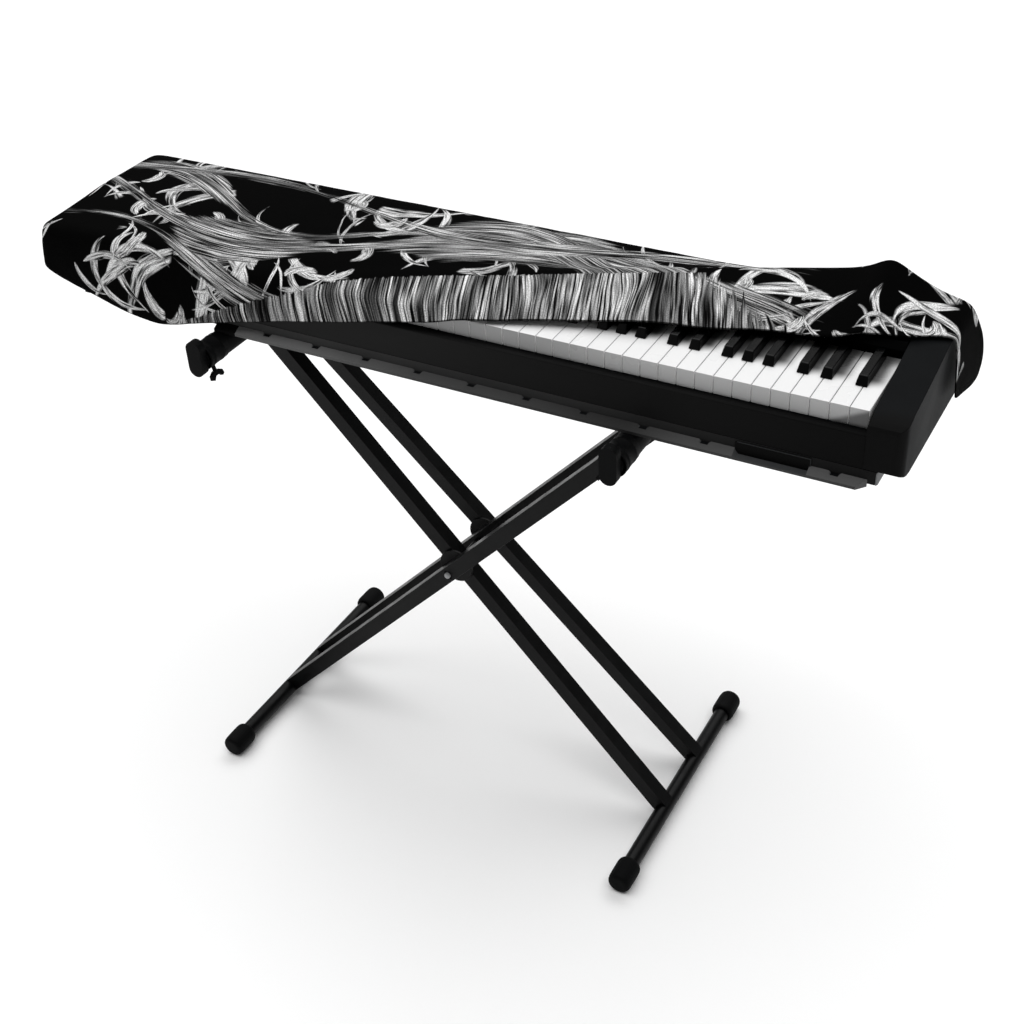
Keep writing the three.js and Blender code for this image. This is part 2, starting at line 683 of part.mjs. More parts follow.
function standParts() {
  const parts = legRows().map((leg) => node(leg.name, legGeometry(leg), paint));
  for (const [name, side] of [['left', -1], ['right', 1]]) {
    const bar = node(`foot_bar_${name}`, rodY(barRadius, -barHalf, barHalf), paint);
    bar.position.set(side * legBottomReach, side * barShift, footHeight);
    parts.push(bar);
    for (const [end, turn] of [['front', 0], ['back', Math.PI]]) {
      const geometry = capGeometry().rotateZ(turn);
      const rubberCap = node(`foot_cap_${name}_${end}`, geometry, rubber);
      const mouth = barHalf - cap.bore + gap;
      rubberCap.position.copy(bar.position);
      rubberCap.position.y += end === 'front' ? -mouth : mouth;
      parts.push(rubberCap);
    }
    const tube = node(`arm_tube_${name}`, rodY(armTubeRadius, armFront, armBack), paint);
    tube.position.set(armPlaces[name], 0, armZ);
    parts.push(tube);
    const hollow = cut(rodY(sleeveRadius, sleeveFront, sleeveBack),
      rodY(armTubeRadius + gap, sleeveFront - 1, sleeveBack + 1));
    const sleeve = node(`arm_sleeve_${name}`, hollow, rubber);
    sleeve.position.copy(tube.position);
    parts.push(sleeve);
    const plate = node(`arm_stop_${name}`, stopGeometry(), rubber);
    plate.position.set(armPlaces[name], armFront - gap - stop.collarLength, armZ);
    parts.push(plate);
    const wing = node(`arm_knob_${name}`, knobGeometry(), rubber);
    const out = stop.collarRadius + gap;
    const tilt = knobTilts[name];
    wing.position.set(armPlaces[name] - out * Math.sin(tilt), plate.position.y + stop.collarLength / 2 + 2,
      armZ - out * Math.cos(tilt));
    wing.rotation.set(0, tilt, knobTurns[name]);
    parts.push(wing);
  }
  return [...parts, ...hingeParts()];
}

function hingeParts() {
  const fronts = Object.fromEntries(legRows().map(({ name, frontY }) => [name, frontY]));
  const [frontPlane, backPlane] = hingePlanes();
  const pieces = [
    ['hinge_plate_front', rodY(hinge.radius, ...frontPlane, 32), paint],
    ['hinge_plate_back', rodY(hinge.radius, ...backPlane, 32), paint],
    ['hinge_rod', rodY(hinge.rodRadius, fronts.leg_front_left_top + legSize + 1,
      fronts.leg_back_right_top - gap, 16), paint],
    ['hinge_bolt_front', boltGeometry(fronts.leg_front_right_top - gap, -1), steel],
    ['hinge_bolt_back', boltGeometry(fronts.leg_back_left_top + legSize + 1, 1), steel],
  ];
  return pieces.map(([name, geometry, finish]) => {
    const piece = node(name, geometry, finish);
    piece.position.z = pivotZ;
    return piece;
  });
}

function boltGeometry(y, direction) {
  const [near, far] = direction > 0 ? [y, y + hinge.boltHeight] : [y - hinge.boltHeight, y];
  return rodY(hinge.boltRadius, near, far, 6);
}

const coverMesh = node('cover', coverGeometry(), cloth);
coverMesh.geometry.computeBoundingBox();
const { min, max } = coverMesh.geometry.boundingBox;
const middle = (min.x + max.x) / 2;

const keyboard = new THREE.Group();
keyboard.position.set(-middle, -standY, keyTopHeight);
keyboard.add(coverMesh, ...keyboardParts());

const stand = new THREE.Group();
stand.position.set(standX - middle, 0, 0);
stand.add(...standParts());

const set = new THREE.Group();
set.add(keyboard, stand);

export default set;
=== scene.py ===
"""The looks of a stretch-cloth cover lying askew on a 76-key keyboard, on its folding double-X stand.

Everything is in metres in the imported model's frame. Shapes that repeat the part's own sizes are
worked out in millimetres, in the keyboard's axes: from the right end of the white keys' front top
edge, with Y to the back and Z up.
"""
import math
from contextlib import contextmanager

import bmesh
import bpy
import numpy as np
from mathutils import Matrix, Vector, noise
from mathutils.kdtree import KDTree


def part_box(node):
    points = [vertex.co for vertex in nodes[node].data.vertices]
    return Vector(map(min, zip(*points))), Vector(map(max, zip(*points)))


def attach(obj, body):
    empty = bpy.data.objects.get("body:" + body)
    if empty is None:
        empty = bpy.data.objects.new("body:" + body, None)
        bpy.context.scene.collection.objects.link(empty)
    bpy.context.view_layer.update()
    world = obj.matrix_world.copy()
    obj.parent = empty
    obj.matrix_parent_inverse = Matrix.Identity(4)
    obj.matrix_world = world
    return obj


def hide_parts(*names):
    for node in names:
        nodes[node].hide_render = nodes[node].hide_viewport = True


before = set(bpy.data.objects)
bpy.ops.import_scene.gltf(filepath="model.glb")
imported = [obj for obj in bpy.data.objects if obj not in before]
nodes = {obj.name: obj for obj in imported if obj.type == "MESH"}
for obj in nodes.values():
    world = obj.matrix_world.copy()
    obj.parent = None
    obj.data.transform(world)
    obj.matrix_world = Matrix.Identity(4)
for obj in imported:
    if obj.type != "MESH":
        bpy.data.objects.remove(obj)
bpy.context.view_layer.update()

MM = 0.001
KEY_PITCH = 23.5
WHITE_KEYS = 45
WHITE_KEY = {"length": 125.7, "height": 24.0, "gap": 0.9, "bevel": 1.0}
# A black key's width, front and height at its foot and at its top
BLACK_KEY = {"foot": (14.9, 46.0, 0.3), "top": (10.8, 52.5, 12.0), "rear": 121.7, "bevel": 1.3}
# How far each black key of an octave stands to the right of the gap below it, in mm
BLACK_KEY_SHIFTS = {0: 0.0, 1: -2.1, 3: 3.0, 4: -2.1, 6: 2.5}

white_low, white_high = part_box("white_keys")
KEYS_ORIGIN = Vector((white_high.x + WHITE_KEY["gap"] / 2 * MM, white_low.y, white_high.z))


def from_keys(x, y, z):
    """A point given in millimetres from the keys' corner, in the model's frame."""
    return KEYS_ORIGIN + Vector((x, y, z)) * MM


def in_keys(point):
    """A point of the model, in millimetres from the keys' corner."""
    return (point - KEYS_ORIGIN) / MM


def lerp(a, b, t):
    return a + (b - a) * t


def smoothstep(value, low, high):
    t = min(1.0, max(0.0, (value - low) / (high - low)))
    return t * t * (3 - 2 * t)


# Meshes

# Edges of turned pieces that bend more than this stay sharp
SHARP_ANGLE = math.radians(35)


def placed(name, data):
    """A new object with this data, in the scene."""
    made = bpy.data.objects.new(name, data)
    bpy.context.collection.objects.link(made)
    return made


def new_piece(name, points, faces, material):
    """An object of these points and faces that rides on the one body."""
    mesh = bpy.data.meshes.new(name)
    mesh.from_pydata([tuple(p) for p in points], [], faces)
    mesh.validate()
    mesh.materials.append(material)
    piece = placed(name, mesh)
    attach(piece, "root")
    return piece


@contextmanager
def editing(piece):
    """The piece's mesh, to be changed within a with statement."""
    mesh = bmesh.new()
    mesh.from_mesh(piece.data)
    yield mesh
    mesh.to_mesh(piece.data)
    mesh.free()


def swept_piece(name, rows, material, ring_shaped=False):
    """A solid through rows of points, with flat ends or closed round on itself."""
    count, steps = len(rows), len(rows[0])
    faces = []
    for i in range(count if ring_shaped else count - 1):
        here, there = i * steps, (i + 1) % count * steps
        for k in range(steps):
            after = (k + 1) % steps
            faces.append((here + k, here + after, there + after, there + k))
    if not ring_shaped:
        faces.append(tuple(range(steps)))
        faces.append(tuple((count - 1) * steps + k for k in reversed(range(steps))))
    piece = new_piece(name, [point for row in rows for point in row], faces, material)
    with editing(piece) as mesh:
        bmesh.ops.recalc_face_normals(mesh, faces=mesh.faces)
    return piece


def turned_piece(name, profile, base, material, steps, forward=1, ribs=None, floor=math.inf,
                 ring_shaped=False):
    """A solid turned about an axis along Y: pairs of radius and distance from the base, in mm.

    floor is how far below the axis it is cut off flat.
    """
    rows = []
    for radius, along in profile:
        row = []
        for angle in (2 * math.pi * k / steps for k in range(steps)):
            reach = radius
            if ribs and ribs["from"] < along < ribs["to"]:
                reach -= ribs["depth"] * (0.5 - 0.5 * math.cos(ribs["count"] * angle))
            up = max(reach * math.sin(angle), -floor)
            row.append(base + Vector((reach * math.cos(angle), forward * along, up)) * MM)
        rows.append(row)
    piece = swept_piece(name, rows, material, ring_shaped)
    smooth_by_angle(piece)
    return piece


def smooth_faces(piece):
    for polygon in piece.data.polygons:
        polygon.use_smooth = True


def smooth_by_angle(piece):
    smooth_faces(piece)
    with editing(piece) as mesh:
        for edge in mesh.edges:
            edge.smooth = len(edge.link_faces) == 2 and edge.calc_face_angle(0.0) <= SHARP_ANGLE


def soften(piece, width, segments=3, angle=30):
    """Rounds the edges of a piece, a CAD node's too, whose faces come apart and are welded first."""
    weld = piece.modifiers.new("weld", "WELD")
    weld.merge_threshold = 0.00001
    bevel = piece.modifiers.new("soft_edges", "BEVEL")
    bevel.width = width * MM
    bevel.segments = segments
    bevel.angle_limit = math.radians(angle)
    smooth_faces(piece)
    normals = piece.modifiers.new("smooth_faces", "WEIGHTED_NORMAL")
    normals.weight = 100


# Materials

def operator(name):
    return lambda self, other: self.graph.math(name, self, other)


class Wire:
    """A shader value that can be added, multiplied and so on."""

    __add__ = operator("ADD")
    __sub__ = operator("SUBTRACT")
    __mul__ = operator("MULTIPLY")
    __truediv__ = operator("DIVIDE")

    def __init__(self, graph, socket):
        self.graph = graph
        self.socket = socket

    def __rsub__(self, other):
        return self.graph.math("SUBTRACT", other, self)

    def __abs__(self):
        return self.graph.math("ABSOLUTE", self)

    def between(self, low, high, at_low=0.0, at_high=1.0):
        """Goes smoothly from at_low to at_high as the value goes from low to high."""
        inputs = {"Value": self, "From Min": low, "From Max": high, "To Min": at_low, "To Max": at_high}
        return self.graph.node("MapRange", inputs, interpolation_type="SMOOTHSTEP")


class Graph:
    """A node material, with short calls for its nodes."""

    def __init__(self, name):
        self.material = bpy.data.materials.new(name)
        self.material.use_nodes = True
        self.tree = self.material.node_tree
        self.tree.nodes.clear()
        output = self.tree.nodes.new("ShaderNodeOutputMaterial")
        self.shader = self.tree.nodes.new("ShaderNodeBsdfPrincipled")
        self.tree.links.new(self.shader.outputs["BSDF"], output.inputs["Surface"])

    def feed(self, socket, value):
        if isinstance(value, Wire):
            self.tree.links.new(value.socket, socket)
        else:
            socket.default_value = value

    def node(self, kind, inputs=None, output=0, **settings):
        made = self.tree.nodes.new("ShaderNode" + kind)
        for name, value in settings.items():
            setattr(made, name, value)
        for name, value in (inputs or {}).items():
            self.feed(made.inputs[name], value)
        return Wire(self, made.outputs[output])

    def set(self, **sockets):
        for name, value in sockets.items():
            self.feed(self.shader.inputs[name.replace("_", " ")], value)

    def math(self, operation, a, b=0.0, c=0.0):
        made = self.tree.nodes.new("ShaderNodeMath")
        made.operation = operation
        for socket, value in zip(made.inputs, (a, b, c)):
            self.feed(socket, value)
        return Wire(self, made.outputs[0])

    def vector(self, x=0.0, y=0.0, z=0.0):
        return self.node("CombineXYZ", {"X": x, "Y": y, "Z": z})

    def parts(self, vector):
        made = self.tree.nodes.new("ShaderNodeSeparateXYZ")
        self.feed(made.inputs[0], vector)
        return [Wire(self, output) for output in made.outputs]

    def noise(self, vector, scale=1.0, detail=2.0, roughness=0.5, distortion=0.0):
        if isinstance(vector, tuple):
            vector = self.vector(*vector)
        return self.node("TexNoise", {"Vector": vector, "Scale": scale, "Detail": detail,
                                      "Roughness": roughness, "Distortion": distortion})

    def attribute(self, name):
        return self.node("Attribute", output=2, attribute_name=name)

    def place(self):
        """The point in the object's own axes, which are the model's."""
        return self.node("TexCoord", output="Object")

    def facing(self):
        """How far the surface faces back along Y: -1 where it faces straight forward."""
        return self.parts(self.node("NewGeometry", output="Normal"))[1]

    def curve(self, value, points):
        """Goes smoothly through points of (value, level), and is level beyond them."""
        total = points[0][1]
        for (low, at_low), (high, at_high) in zip(points, points[1:]):
            total = value.between(low, high, 0.0, at_high - at_low) + total
        return total

    def mix(self, factor, a, b):
        made = self.tree.nodes.new("ShaderNodeMix")
        made.data_type = "RGBA"
        for name, value in (("Factor_Float", factor), ("A_Color", a), ("B_Color", b)):
            self.feed(next(s for s in made.inputs if s.identifier == name), value)
        return Wire(self, next(s for s in made.outputs if s.identifier == "Result_Color"))

    def bump(self, height, distance, strength=1.0, normal=None):
        inputs = {"Height": height, "Distance": distance, "Strength": strength}
        if normal:
            inputs["Normal"] = normal
        return self.node("Bump", inputs)


def grey(level, warmth=0.0):
    """A linear colour from a level of 0 to 255 as a screen shows it."""
    linear = [((level + shift) / 255) ** 2.2 for shift in (warmth, 0.0, -warmth)]
    return (*linear, 1.0)


GRAIN_SIZE = 0.00035


def moulded_plastic(name, dark, light, gloss, roughness=0.5, grain=0.03, front=None):
    """Plastic with a fine moulded grain and a little unevenness of colour and gloss.

    front gives places along the keyboard, in mm, and the grey of what faces forward there: painted light
    and shade.
    """
    graph = Graph(name)
    place = graph.place()
    cloud = graph.noise(place, 9.0, 4.0, 0.6)
    fine = graph.noise(place, 1 / GRAIN_SIZE, 3.0, 0.6)
    colour = graph.mix(cloud.between(0.3, 0.7), grey(dark, -1), grey(light, -1))
    # Painted light and shade: faces turned forward take a grey that changes along the keyboard
    if front:
        front_shading_points = [(from_keys(x, 0, 0).x, grey(level)[0]) for x, level in front]
        front_shading = graph.curve(graph.parts(place)[0], front_shading_points) * cloud.between(0.3, 0.7, 0.92, 1.08)
        colour = graph.mix(graph.facing().between(-0.35, -0.15), front_shading, colour)
    graph.set(Base_Color=colour,
              Roughness=(cloud + fine * 0.4).between(0.3, 1.0, roughness - 0.06, roughness + 0.08),
              Specular_IOR_Level=gloss, Normal=graph.bump(fine, grain * MM))
    return graph.material


def powder_paint(name, dark, light):
    """Black powder paint on steel tube: an orange-peel skin over slight long ripples."""
    graph = Graph(name)
    place = graph.place()
    peel = graph.noise(place, 900.0)
    ripple = graph.noise(place, 60.0)
    scuff = graph.noise(place, 24.0, 6.0, 0.75, 0.6)
    graph.set(Base_Color=graph.mix(scuff.between(0.45, 0.75), grey(dark, -1), grey(light, -1)),
              Roughness=scuff.between(0.35, 0.7, 0.34, 0.5), Specular_IOR_Level=0.12,
              Normal=graph.bump(peel + ripple * 2.0, 0.00004))
    return graph.material


# White keys: the grey of the painted shadow on their tops beside a black key, how that fades to the right
# from its middle, where it begins behind the keys' front edge, and how much painted shade there is all
# along at the back
KEY_SHADE = {"grey": 60, "fade": ((-4, 0.0), (4, 1.0), (11, 1.0), (31, 0.0)), "back": (46, 68),
             "deep": 0.8, "deep_back": (98, 120)}
# Their fronts, greyer than the tops with painted shade: the greys at the top, at the bottom, to the left
# and in the slanting painted shadow at the right end, where the left one fades, how steep the shadow's edge
# is and how far it fades
PAINTED_FRONT_SHADE = {"top": 166, "bottom": 152, "left": 100, "last": 72, "left_fade": (-450, -250),
              "slant": 2.0, "last_fade": 9}


def shade_beside_black_keys(graph, across):
    """How much painted shadow a place gets from the black key to its left: the same in each octave."""
    octave = 7 * KEY_PITCH
    at = graph.math("FLOORED_MODULO", across - KEYS_ORIGIN.x, octave * MM)
    shaded = 0.0
    for gap, shift in BLACK_KEY_SHIFTS.items():
        middle = (shift - gap * KEY_PITCH) % octave
        shade = graph.curve(at, [((middle + away) * MM, level) for away, level in KEY_SHADE["fade"]])
        shaded = graph.math("MAXIMUM", shade, shaded)
    return shaded


def key_plastic(name):
    """Glossy white plastic with painted shade on greyer fronts and painted shadow where black keys shade
    the tops.
    """
    graph = Graph(name)
    place = graph.place()
    cloud = graph.noise(place, 14.0, 3.0)
    across, back, height = graph.parts(place)
    # Painted shade: the fronts greyer than the tops, darker towards the bottom, to the left and in a slant
    # at the right end
    low = height.between(KEYS_ORIGIN.z - WHITE_KEY["height"] * MM, KEYS_ORIGIN.z, 1.0, 0.0)
    front = graph.mix(low, grey(PAINTED_FRONT_SHADE["top"]), grey(PAINTED_FRONT_SHADE["bottom"]))
    left = across.between(*(from_keys(x, 0, 0).x for x in PAINTED_FRONT_SHADE["left_fade"]), 0.5, 0.0)
    front = graph.mix(left, front, grey(PAINTED_FRONT_SHADE["left"]))
    slant, reach = PAINTED_FRONT_SHADE["slant"], PAINTED_FRONT_SHADE["last_fade"] * MM
    middle = KEYS_ORIGIN.x - slant * KEYS_ORIGIN.z
    last = (across - height * slant).between(middle - reach, middle + reach)
    front = graph.mix(last, front, grey(PAINTED_FRONT_SHADE["last"]))
    # Painted shadows on the tops beside each black key, and painted shade all along at the back
    dark = grey(KEY_SHADE["grey"])
    behind, deep = ([from_keys(0, y, 0).y for y in KEY_SHADE[key]] for key in ("back", "deep_back"))
    top = graph.mix(cloud.between(0.3, 0.7), grey(227), grey(229))
    top = graph.mix(shade_beside_black_keys(graph, across) * back.between(*behind), top, dark)
    top = graph.mix(back.between(*deep, 0.0, KEY_SHADE["deep"]), top, dark)
    graph.set(Base_Color=graph.mix(graph.facing().between(-0.9, -0.4), front, top),
              Roughness=cloud.between(0.3, 0.7, 0.27, 0.3),
              Normal=graph.bump(graph.noise(place, 700.0), 0.000006))
    return graph.material


# Places along the keyboard, in mm, and the grey of its front there, painted light and shade: it is lighter
# to the left
RAIL_FRONT_SHADING = ((-880, 40), (-300, 24), (40, 16))
TRAY_FRONT_SHADING = ((-880, 57), (-450, 47), (40, 28))
LEDGE_FRONT_SHADING = ((-880, 112), (-500, 68), (-300, 48), (-200, 78), (10, 88))
LIP_FRONT_SHADING = ((-880, 94), (-500, 53), (-300, 40), (-200, 58), (10, 62))
END_FRONT_SHADING = ((-1205, 23), (47, 23))
body_plastic = moulded_plastic("body_plastic", 22, 27, 0.02, front=END_FRONT_SHADING)
# The rear deck's darker grey is painted shade under the cover's hem
hem_shaded_deck_plastic = moulded_plastic("hem_shaded_deck_plastic", 5, 8, 0.02, 0.55)
rail_plastic = moulded_plastic("rail_plastic", 7, 11, 0.04, front=RAIL_FRONT_SHADING)
tray_plastic = moulded_plastic("tray_plastic", 7, 11, 0.04, front=TRAY_FRONT_SHADING)
ledge_plastic = moulded_plastic("ledge_plastic", 60, 70, 0.1, 0.6, front=LEDGE_FRONT_SHADING)
lip_plastic = moulded_plastic("lip_plastic", 40, 48, 0.1, front=LIP_FRONT_SHADING)
end_plastic = moulded_plastic("end_plastic", 96, 108, 0.1)
# The recess rim's lighter grey is a painted edge highlight on a real raised rim
rim_highlight_plastic = moulded_plastic("rim_highlight_plastic", 34, 40, 0.2, grain=0.02)
white_plastic = key_plastic("white_key_plastic")
black_plastic = moulded_plastic("black_key_plastic", 2, 5, 0.14, 0.2, 0.004)
rubber = moulded_plastic("rubber", 8, 12, 0.08, 0.65)
paint = powder_paint("powder_paint", 6, 12)
steel = moulded_plastic("zinc_steel", 130, 150, 0.5, 0.35, 0.01)


# Print of the cloth: pale grey brush strokes on black, a generic design

KNIT_PITCH = 0.0011
HEM_WIDTH = 0.0085
STITCH = {"pitch": 0.0032, "inset": 0.0072}
GROUND_DARK = grey(2)
GROUND_LIGHT = grey(9)
INK = grey(250)
# Strands of the front skirt: between which places along it they start to lean, where down the
# cloth they lean from, and how far
SKIRT_LEAN = {"from": -0.85, "to": -0.65, "level": 0.25, "slope": 0.39}
# Long sweeps of combed hair that wander along the cloth: where their middle is, how far they
# swing, the length of a swing, where it starts, their half width, and a seed
SWEEPS = (
    (0.25, 0.05, 0.70, 2.2, 0.018, 21.0),
    (0.13, 0.07, 0.95, 1.4, 0.050, 1.0),
    (0.10, 0.06, 0.60, 4.2, 0.028, 5.0),
    (0.05, 0.03, 0.75, 0.5, 0.018, 11.0),
)
# Where the sweeps fray out towards the right end
SWEEPS_END = (-0.18, -0.14)
# Curved strokes, in widths of a cell: offset across and up, turn, radius, half width, half
# angle, and how much thicker one end is
SPRIG = (
    (-0.05, -0.12, 0.0, 0.62, 0.050, 0.70, -0.75),
    (0.06, 0.02, 1.0, 0.34, 0.036, 0.95, -0.75),
    (-0.16, 0.02, -0.7, 0.40, 0.030, 0.80, 0.75),
    (0.24, -0.10, 1.9, 0.30, 0.024, 0.80, -0.75),
)
DAB = (
    (0.0, 0.0, 0.0, 0.30, 0.105, 1.2, 0.2),
)
HAIRLINE = (
    (0.0, 0.0, 0.0, 0.60, 0.020, 0.65, 0.4),
    (0.05, 0.12, 0.5, 0.45, 0.014, 0.7, 0.4),
)
# Cells in a metre, seed, how rare the strokes are, and the strokes in a cell
CLUSTERS = (
    (4.6, 2.0, 0.36, SPRIG),
    (6.2, 5.0, 0.40, SPRIG),
    (7.5, 9.0, 0.40, HAIRLINE),
    (12.0, 12.0, 0.54, DAB),
)


def hairs(graph, across, along, seed, width=0.0021, length=0.09):
    """Fine pale brush hairs that run along, from 0 to 1."""
    sway = graph.noise((across * 9.0, along * 5.0, seed), detail=1.0)
    line = across + sway * 0.004
    fine = graph.noise((line / width, along / length, seed), detail=2.5, roughness=0.62)
    locks = graph.noise((line * 75.0, along * 5.0, seed + 7.0))
    return fine.between(0.40, 0.66) * locks.between(0.36, 0.62, 0.25, 1.0)


def over(total, mask, shade):
    return mask * shade if total is None else total * (1.0 - mask) + mask * shade


def rotated(x, y, cosine, sine):
    return x * cosine - y * sine, x * sine + y * cosine


def cells(graph, u, v, scale, seed):
    """A place in each of many cells, turned by chance: x, y, three chances and the cell's edge."""
    u, v = u + seed * 0.137, v + seed * 0.211
    inputs = {"Vector": graph.vector(u, v), "Scale": scale, "Randomness": 0.55}
    cell = graph.node("TexVoronoi", inputs, voronoi_dimensions="2D").socket.node
    edge = graph.node("TexVoronoi", inputs, voronoi_dimensions="2D", feature="DISTANCE_TO_EDGE")
    middle = graph.parts(Wire(graph, cell.outputs["Position"]))
    chances = graph.parts(Wire(graph, cell.outputs["Color"]))
    turn = chances[0] * (2 * math.pi)
    x, y = rotated((u - middle[0]) * scale, (v - middle[1]) * scale,
                   graph.math("COSINE", turn), graph.math("SINE", turn))
    return x, y, chances, edge


def stroke(graph, x, y, chance, radius, thick, spread, taper):
    """A curved dab of a brush through the middle of the cell: its mask and its hairs."""
    lower = y + radius
    reach = graph.math("SQRT", x * x + lower * lower)
    angle = graph.math("ARCTAN2", x, lower)
    share = angle / spread
    swell = graph.math("MAXIMUM", 1.0 - share * share, 0.0)
    half = (share * taper + 1.0) * swell * thick
    outside = abs(share).between(0.94, 1.0, 1.0, 0.0)
    rag = graph.noise((reach * 46.0, angle * 2.6 * radius, chance * 9.0))
    edge = abs(reach - radius) - half + (rag - 0.5) * (thick * 0.7)
    mask = edge.between(-thick * 0.16, thick * 0.16, 1.0, 0.0) * outside
    fine = graph.noise((reach * 62.0, angle * 5.0 * radius, chance * 5.0 + 3.0), detail=2.5, roughness=0.65)
    return mask, fine.between(0.34, 0.62)


def clusters(graph, u, v, total):
    bent = [value + (graph.noise((u * 6.0, v * 6.0, seed), detail=1.0) - 0.5) * 0.05
            for value, seed in ((u, 17.0), (v, 27.0))]
    for scale, seed, rarity, strokes in CLUSTERS:
        x, y, chances, edge = cells(graph, *bent, scale, seed)
        zone = graph.noise((u * 3.6, v * 3.6, seed + 40.0), detail=0.0)
        kept = edge.between(0.0, 0.03) * zone.between(rarity, rarity + 0.02)
        light = chances[2].between(0.0, 0.6, 0.7, 1.0)
        for offset_x, offset_y, turn, radius, thick, spread, taper in strokes:
            near = rotated(x - offset_x, y - offset_y, math.cos(turn), math.sin(turn))
            mask, shade = stroke(graph, *near, chances[1], radius, thick, spread, taper)
            total = over(total, mask * kept, shade * light)
    return total


def sweeps(graph, u, v, total):
    for middle, swing, length, start, width, seed in SWEEPS:
        wander = graph.noise((u * 2.2, seed), detail=1.0)
        wave = graph.math("SINE", u * (2 * math.pi / length) + start) * swing
        across = v - wave - middle - wander * 0.03 + 0.015
        taper = graph.noise((u * 3.0, seed + 3.0), detail=0.0)
        reach = taper.between(0.42, 0.60, width * 0.15, width)
        rag = graph.noise((across * 260.0, u * 14.0, seed))
        edge = abs(across) - reach + (rag - 0.5) * 0.028
        end = (u + (rag - 0.5) * 0.10 + across * 0.6).between(*SWEEPS_END, 1.0, 0.0)
        mask = edge.between(-0.004, 0.004, 1.0, 0.0) * end
        total = over(total, mask, hairs(graph, across, u, seed))
    return total


def combed_skirt(graph, u, v, skirt, total):
    """Strands that run down the front skirt, in bunches."""
    sway = graph.noise((u * 9.0, v * 2.0, 61.0), detail=1.0)
    lean = u.between(SKIRT_LEAN["from"], SKIRT_LEAN["to"], 0.0, SKIRT_LEAN["slope"])
    across = u - (v - SKIRT_LEAN["level"]) * (lean + (sway - 0.5) * 0.7)
    rag = graph.noise((across * 300.0, v * 12.0, 65.0))
    shown = (skirt + (rag - 0.5) * 0.012).between(0.006, 0.008)
    reach = abs(across + 0.58) + (rag - 0.5) * 0.16 - skirt * 0.8
    mask = shown * reach.between(0.355, 0.365, 1.0, 0.0)
    clump = graph.noise((across * 38.0, v * 3.0, 69.0))
    strands = hairs(graph, across, v, 67.0, width=0.0032, length=0.12)
    return over(total, mask, strands * clump.between(0.34, 0.56, 0.12, 1.15))


def printed_knit(name):
    graph = Graph(name)
    u, v, _ = graph.parts(graph.node("UVMap", uv_map="print"))
    skirt = graph.attribute("skirt")
    total = clusters(graph, u, v, None)
    total = sweeps(graph, u, v, total)
    total = combed_skirt(graph, u, v, skirt, total)
    grain = graph.noise((u, v), 620.0, 2.0, 0.75)
    hem = graph.attribute("hem")
    bare = hem.between(0.0009, 0.0016, 0.15, 1.0)
    ink = total * grain.between(0.34, 0.62, 0.45, 1.12) * bare
    faint = graph.noise((u * 30.0, v * 400.0, 71.0), detail=3.0)
    ground = graph.mix(faint, GROUND_DARK, GROUND_LIGHT)
    graph.set(Base_Color=graph.mix(ink, ground, INK), Roughness=0.9, Specular_IOR_Level=0.03,
              Normal=knit_normal(graph, u, v, hem))
    return graph.material


def knit_normal(graph, u, v, hem):
    """Ribs of a fine knit, with the fold and the stitches of the hem over them."""
    wale = abs(graph.math("SINE", u * (math.pi / KNIT_PITCH)))
    course = abs(graph.math("SINE", v * (math.pi / KNIT_PITCH) + wale * 0.9))
    stitch = graph.attribute("stitch")
    dash = graph.math("SINE", stitch * (2 * math.pi / STITCH["pitch"])).between(-0.3, 0.3)
    line = abs(hem - STITCH["inset"]).between(0.0002, 0.0009, 1.0, 0.0)
    fold = hem.between(HEM_WIDTH, HEM_WIDTH + 0.0012, 1.0, 0.0)
    knit = graph.bump(wale + course * 0.7, 0.00012, 0.7)
    return graph.bump(fold - line * dash * 0.7, 0.0005, 1.0, knit)


# Cover

# Cross-sections from the left end to the right: x, the front hem, a point halfway up the front
# skirt, the crease where it folds into the top panel, and the rear hem's height
SECTION_COLUMNS = ("hem_y", "hem_z", "mid_y", "mid_z", "crease_y", "crease_z", "rear_hem_z")
SECTION_TABLE = (
    (-1211, -26, -58, -27, -52, -27, -45, -62),
    (-1180, -27, -65, -28, -59, -28, -52, -64),
    (-1140, -28, -74, -29, -68, -29, -60, -70),
    (-1095, -29, -86, -30, -80, -30, -71, -66),
    (-1055, -30, -94, -31, -88, -31, -80, -72),
    (-1010, -30, -98, -31, -93, -31, -86, -78),
    (-960, -28, -88, -30, -82, -29, -74, -72),
    (-910, -25, -76, -28, -65, -27, -52, -76),
    (-860, -20, -67, -24, -50, -24, -30, -82),
    (-810, -18, -56, -21, -34, -20, -11, -76),
    (-770, -18, -48, -17, -22, -12, 2, -80),
    (-735, -17, -41, -11, -3, 6, 11.5, -84),
    (-696, -17, -33, -9, 6, 24, 14.5, -80),
    (-656, -16, -24, -8, 7.5, 41, 17, -76),
    (-612, -15, -15, -7, 8, 60, 19.5, -82),
    (-565, -12, -7, 2, 10.5, 76, 22, -86),
    (-511, -7, 5.5, 38, 14.5, 95, 24, -82),
    (-455, 14, 7, 54, 17, 117, 26.5, -78),
    (-394, 33, 10, 68, 18, 144, 28, -84),
    (-345, 45, 14.5, 84, 19, 166, 29, -88),
    (-283, 63, 17, 110, 22.5, 189, 31, -84),
    (-225, 73, 17, 130, 25, 210, 33, -80),
    (-161, 96, 17, 146, 28, 228, 38, -84),
    (-112, 102, 18.5, 156, 31, 235, 45, -88),
    (-80, 105, 21.5, 166, 38, 237, 53, -84),
    (-55, 121, 24, 175, 47, 238, 67, -80),
    (-30, 129, 24, 178, 39, 238, 55, -84),
    (0, 138, 23, 178, 29, 238, 40, -86),
    (43, 157, 23, 192, 25, 238, 28, -82),
)
ROW_STEPS = 2
SKIRT_STEPS = 6
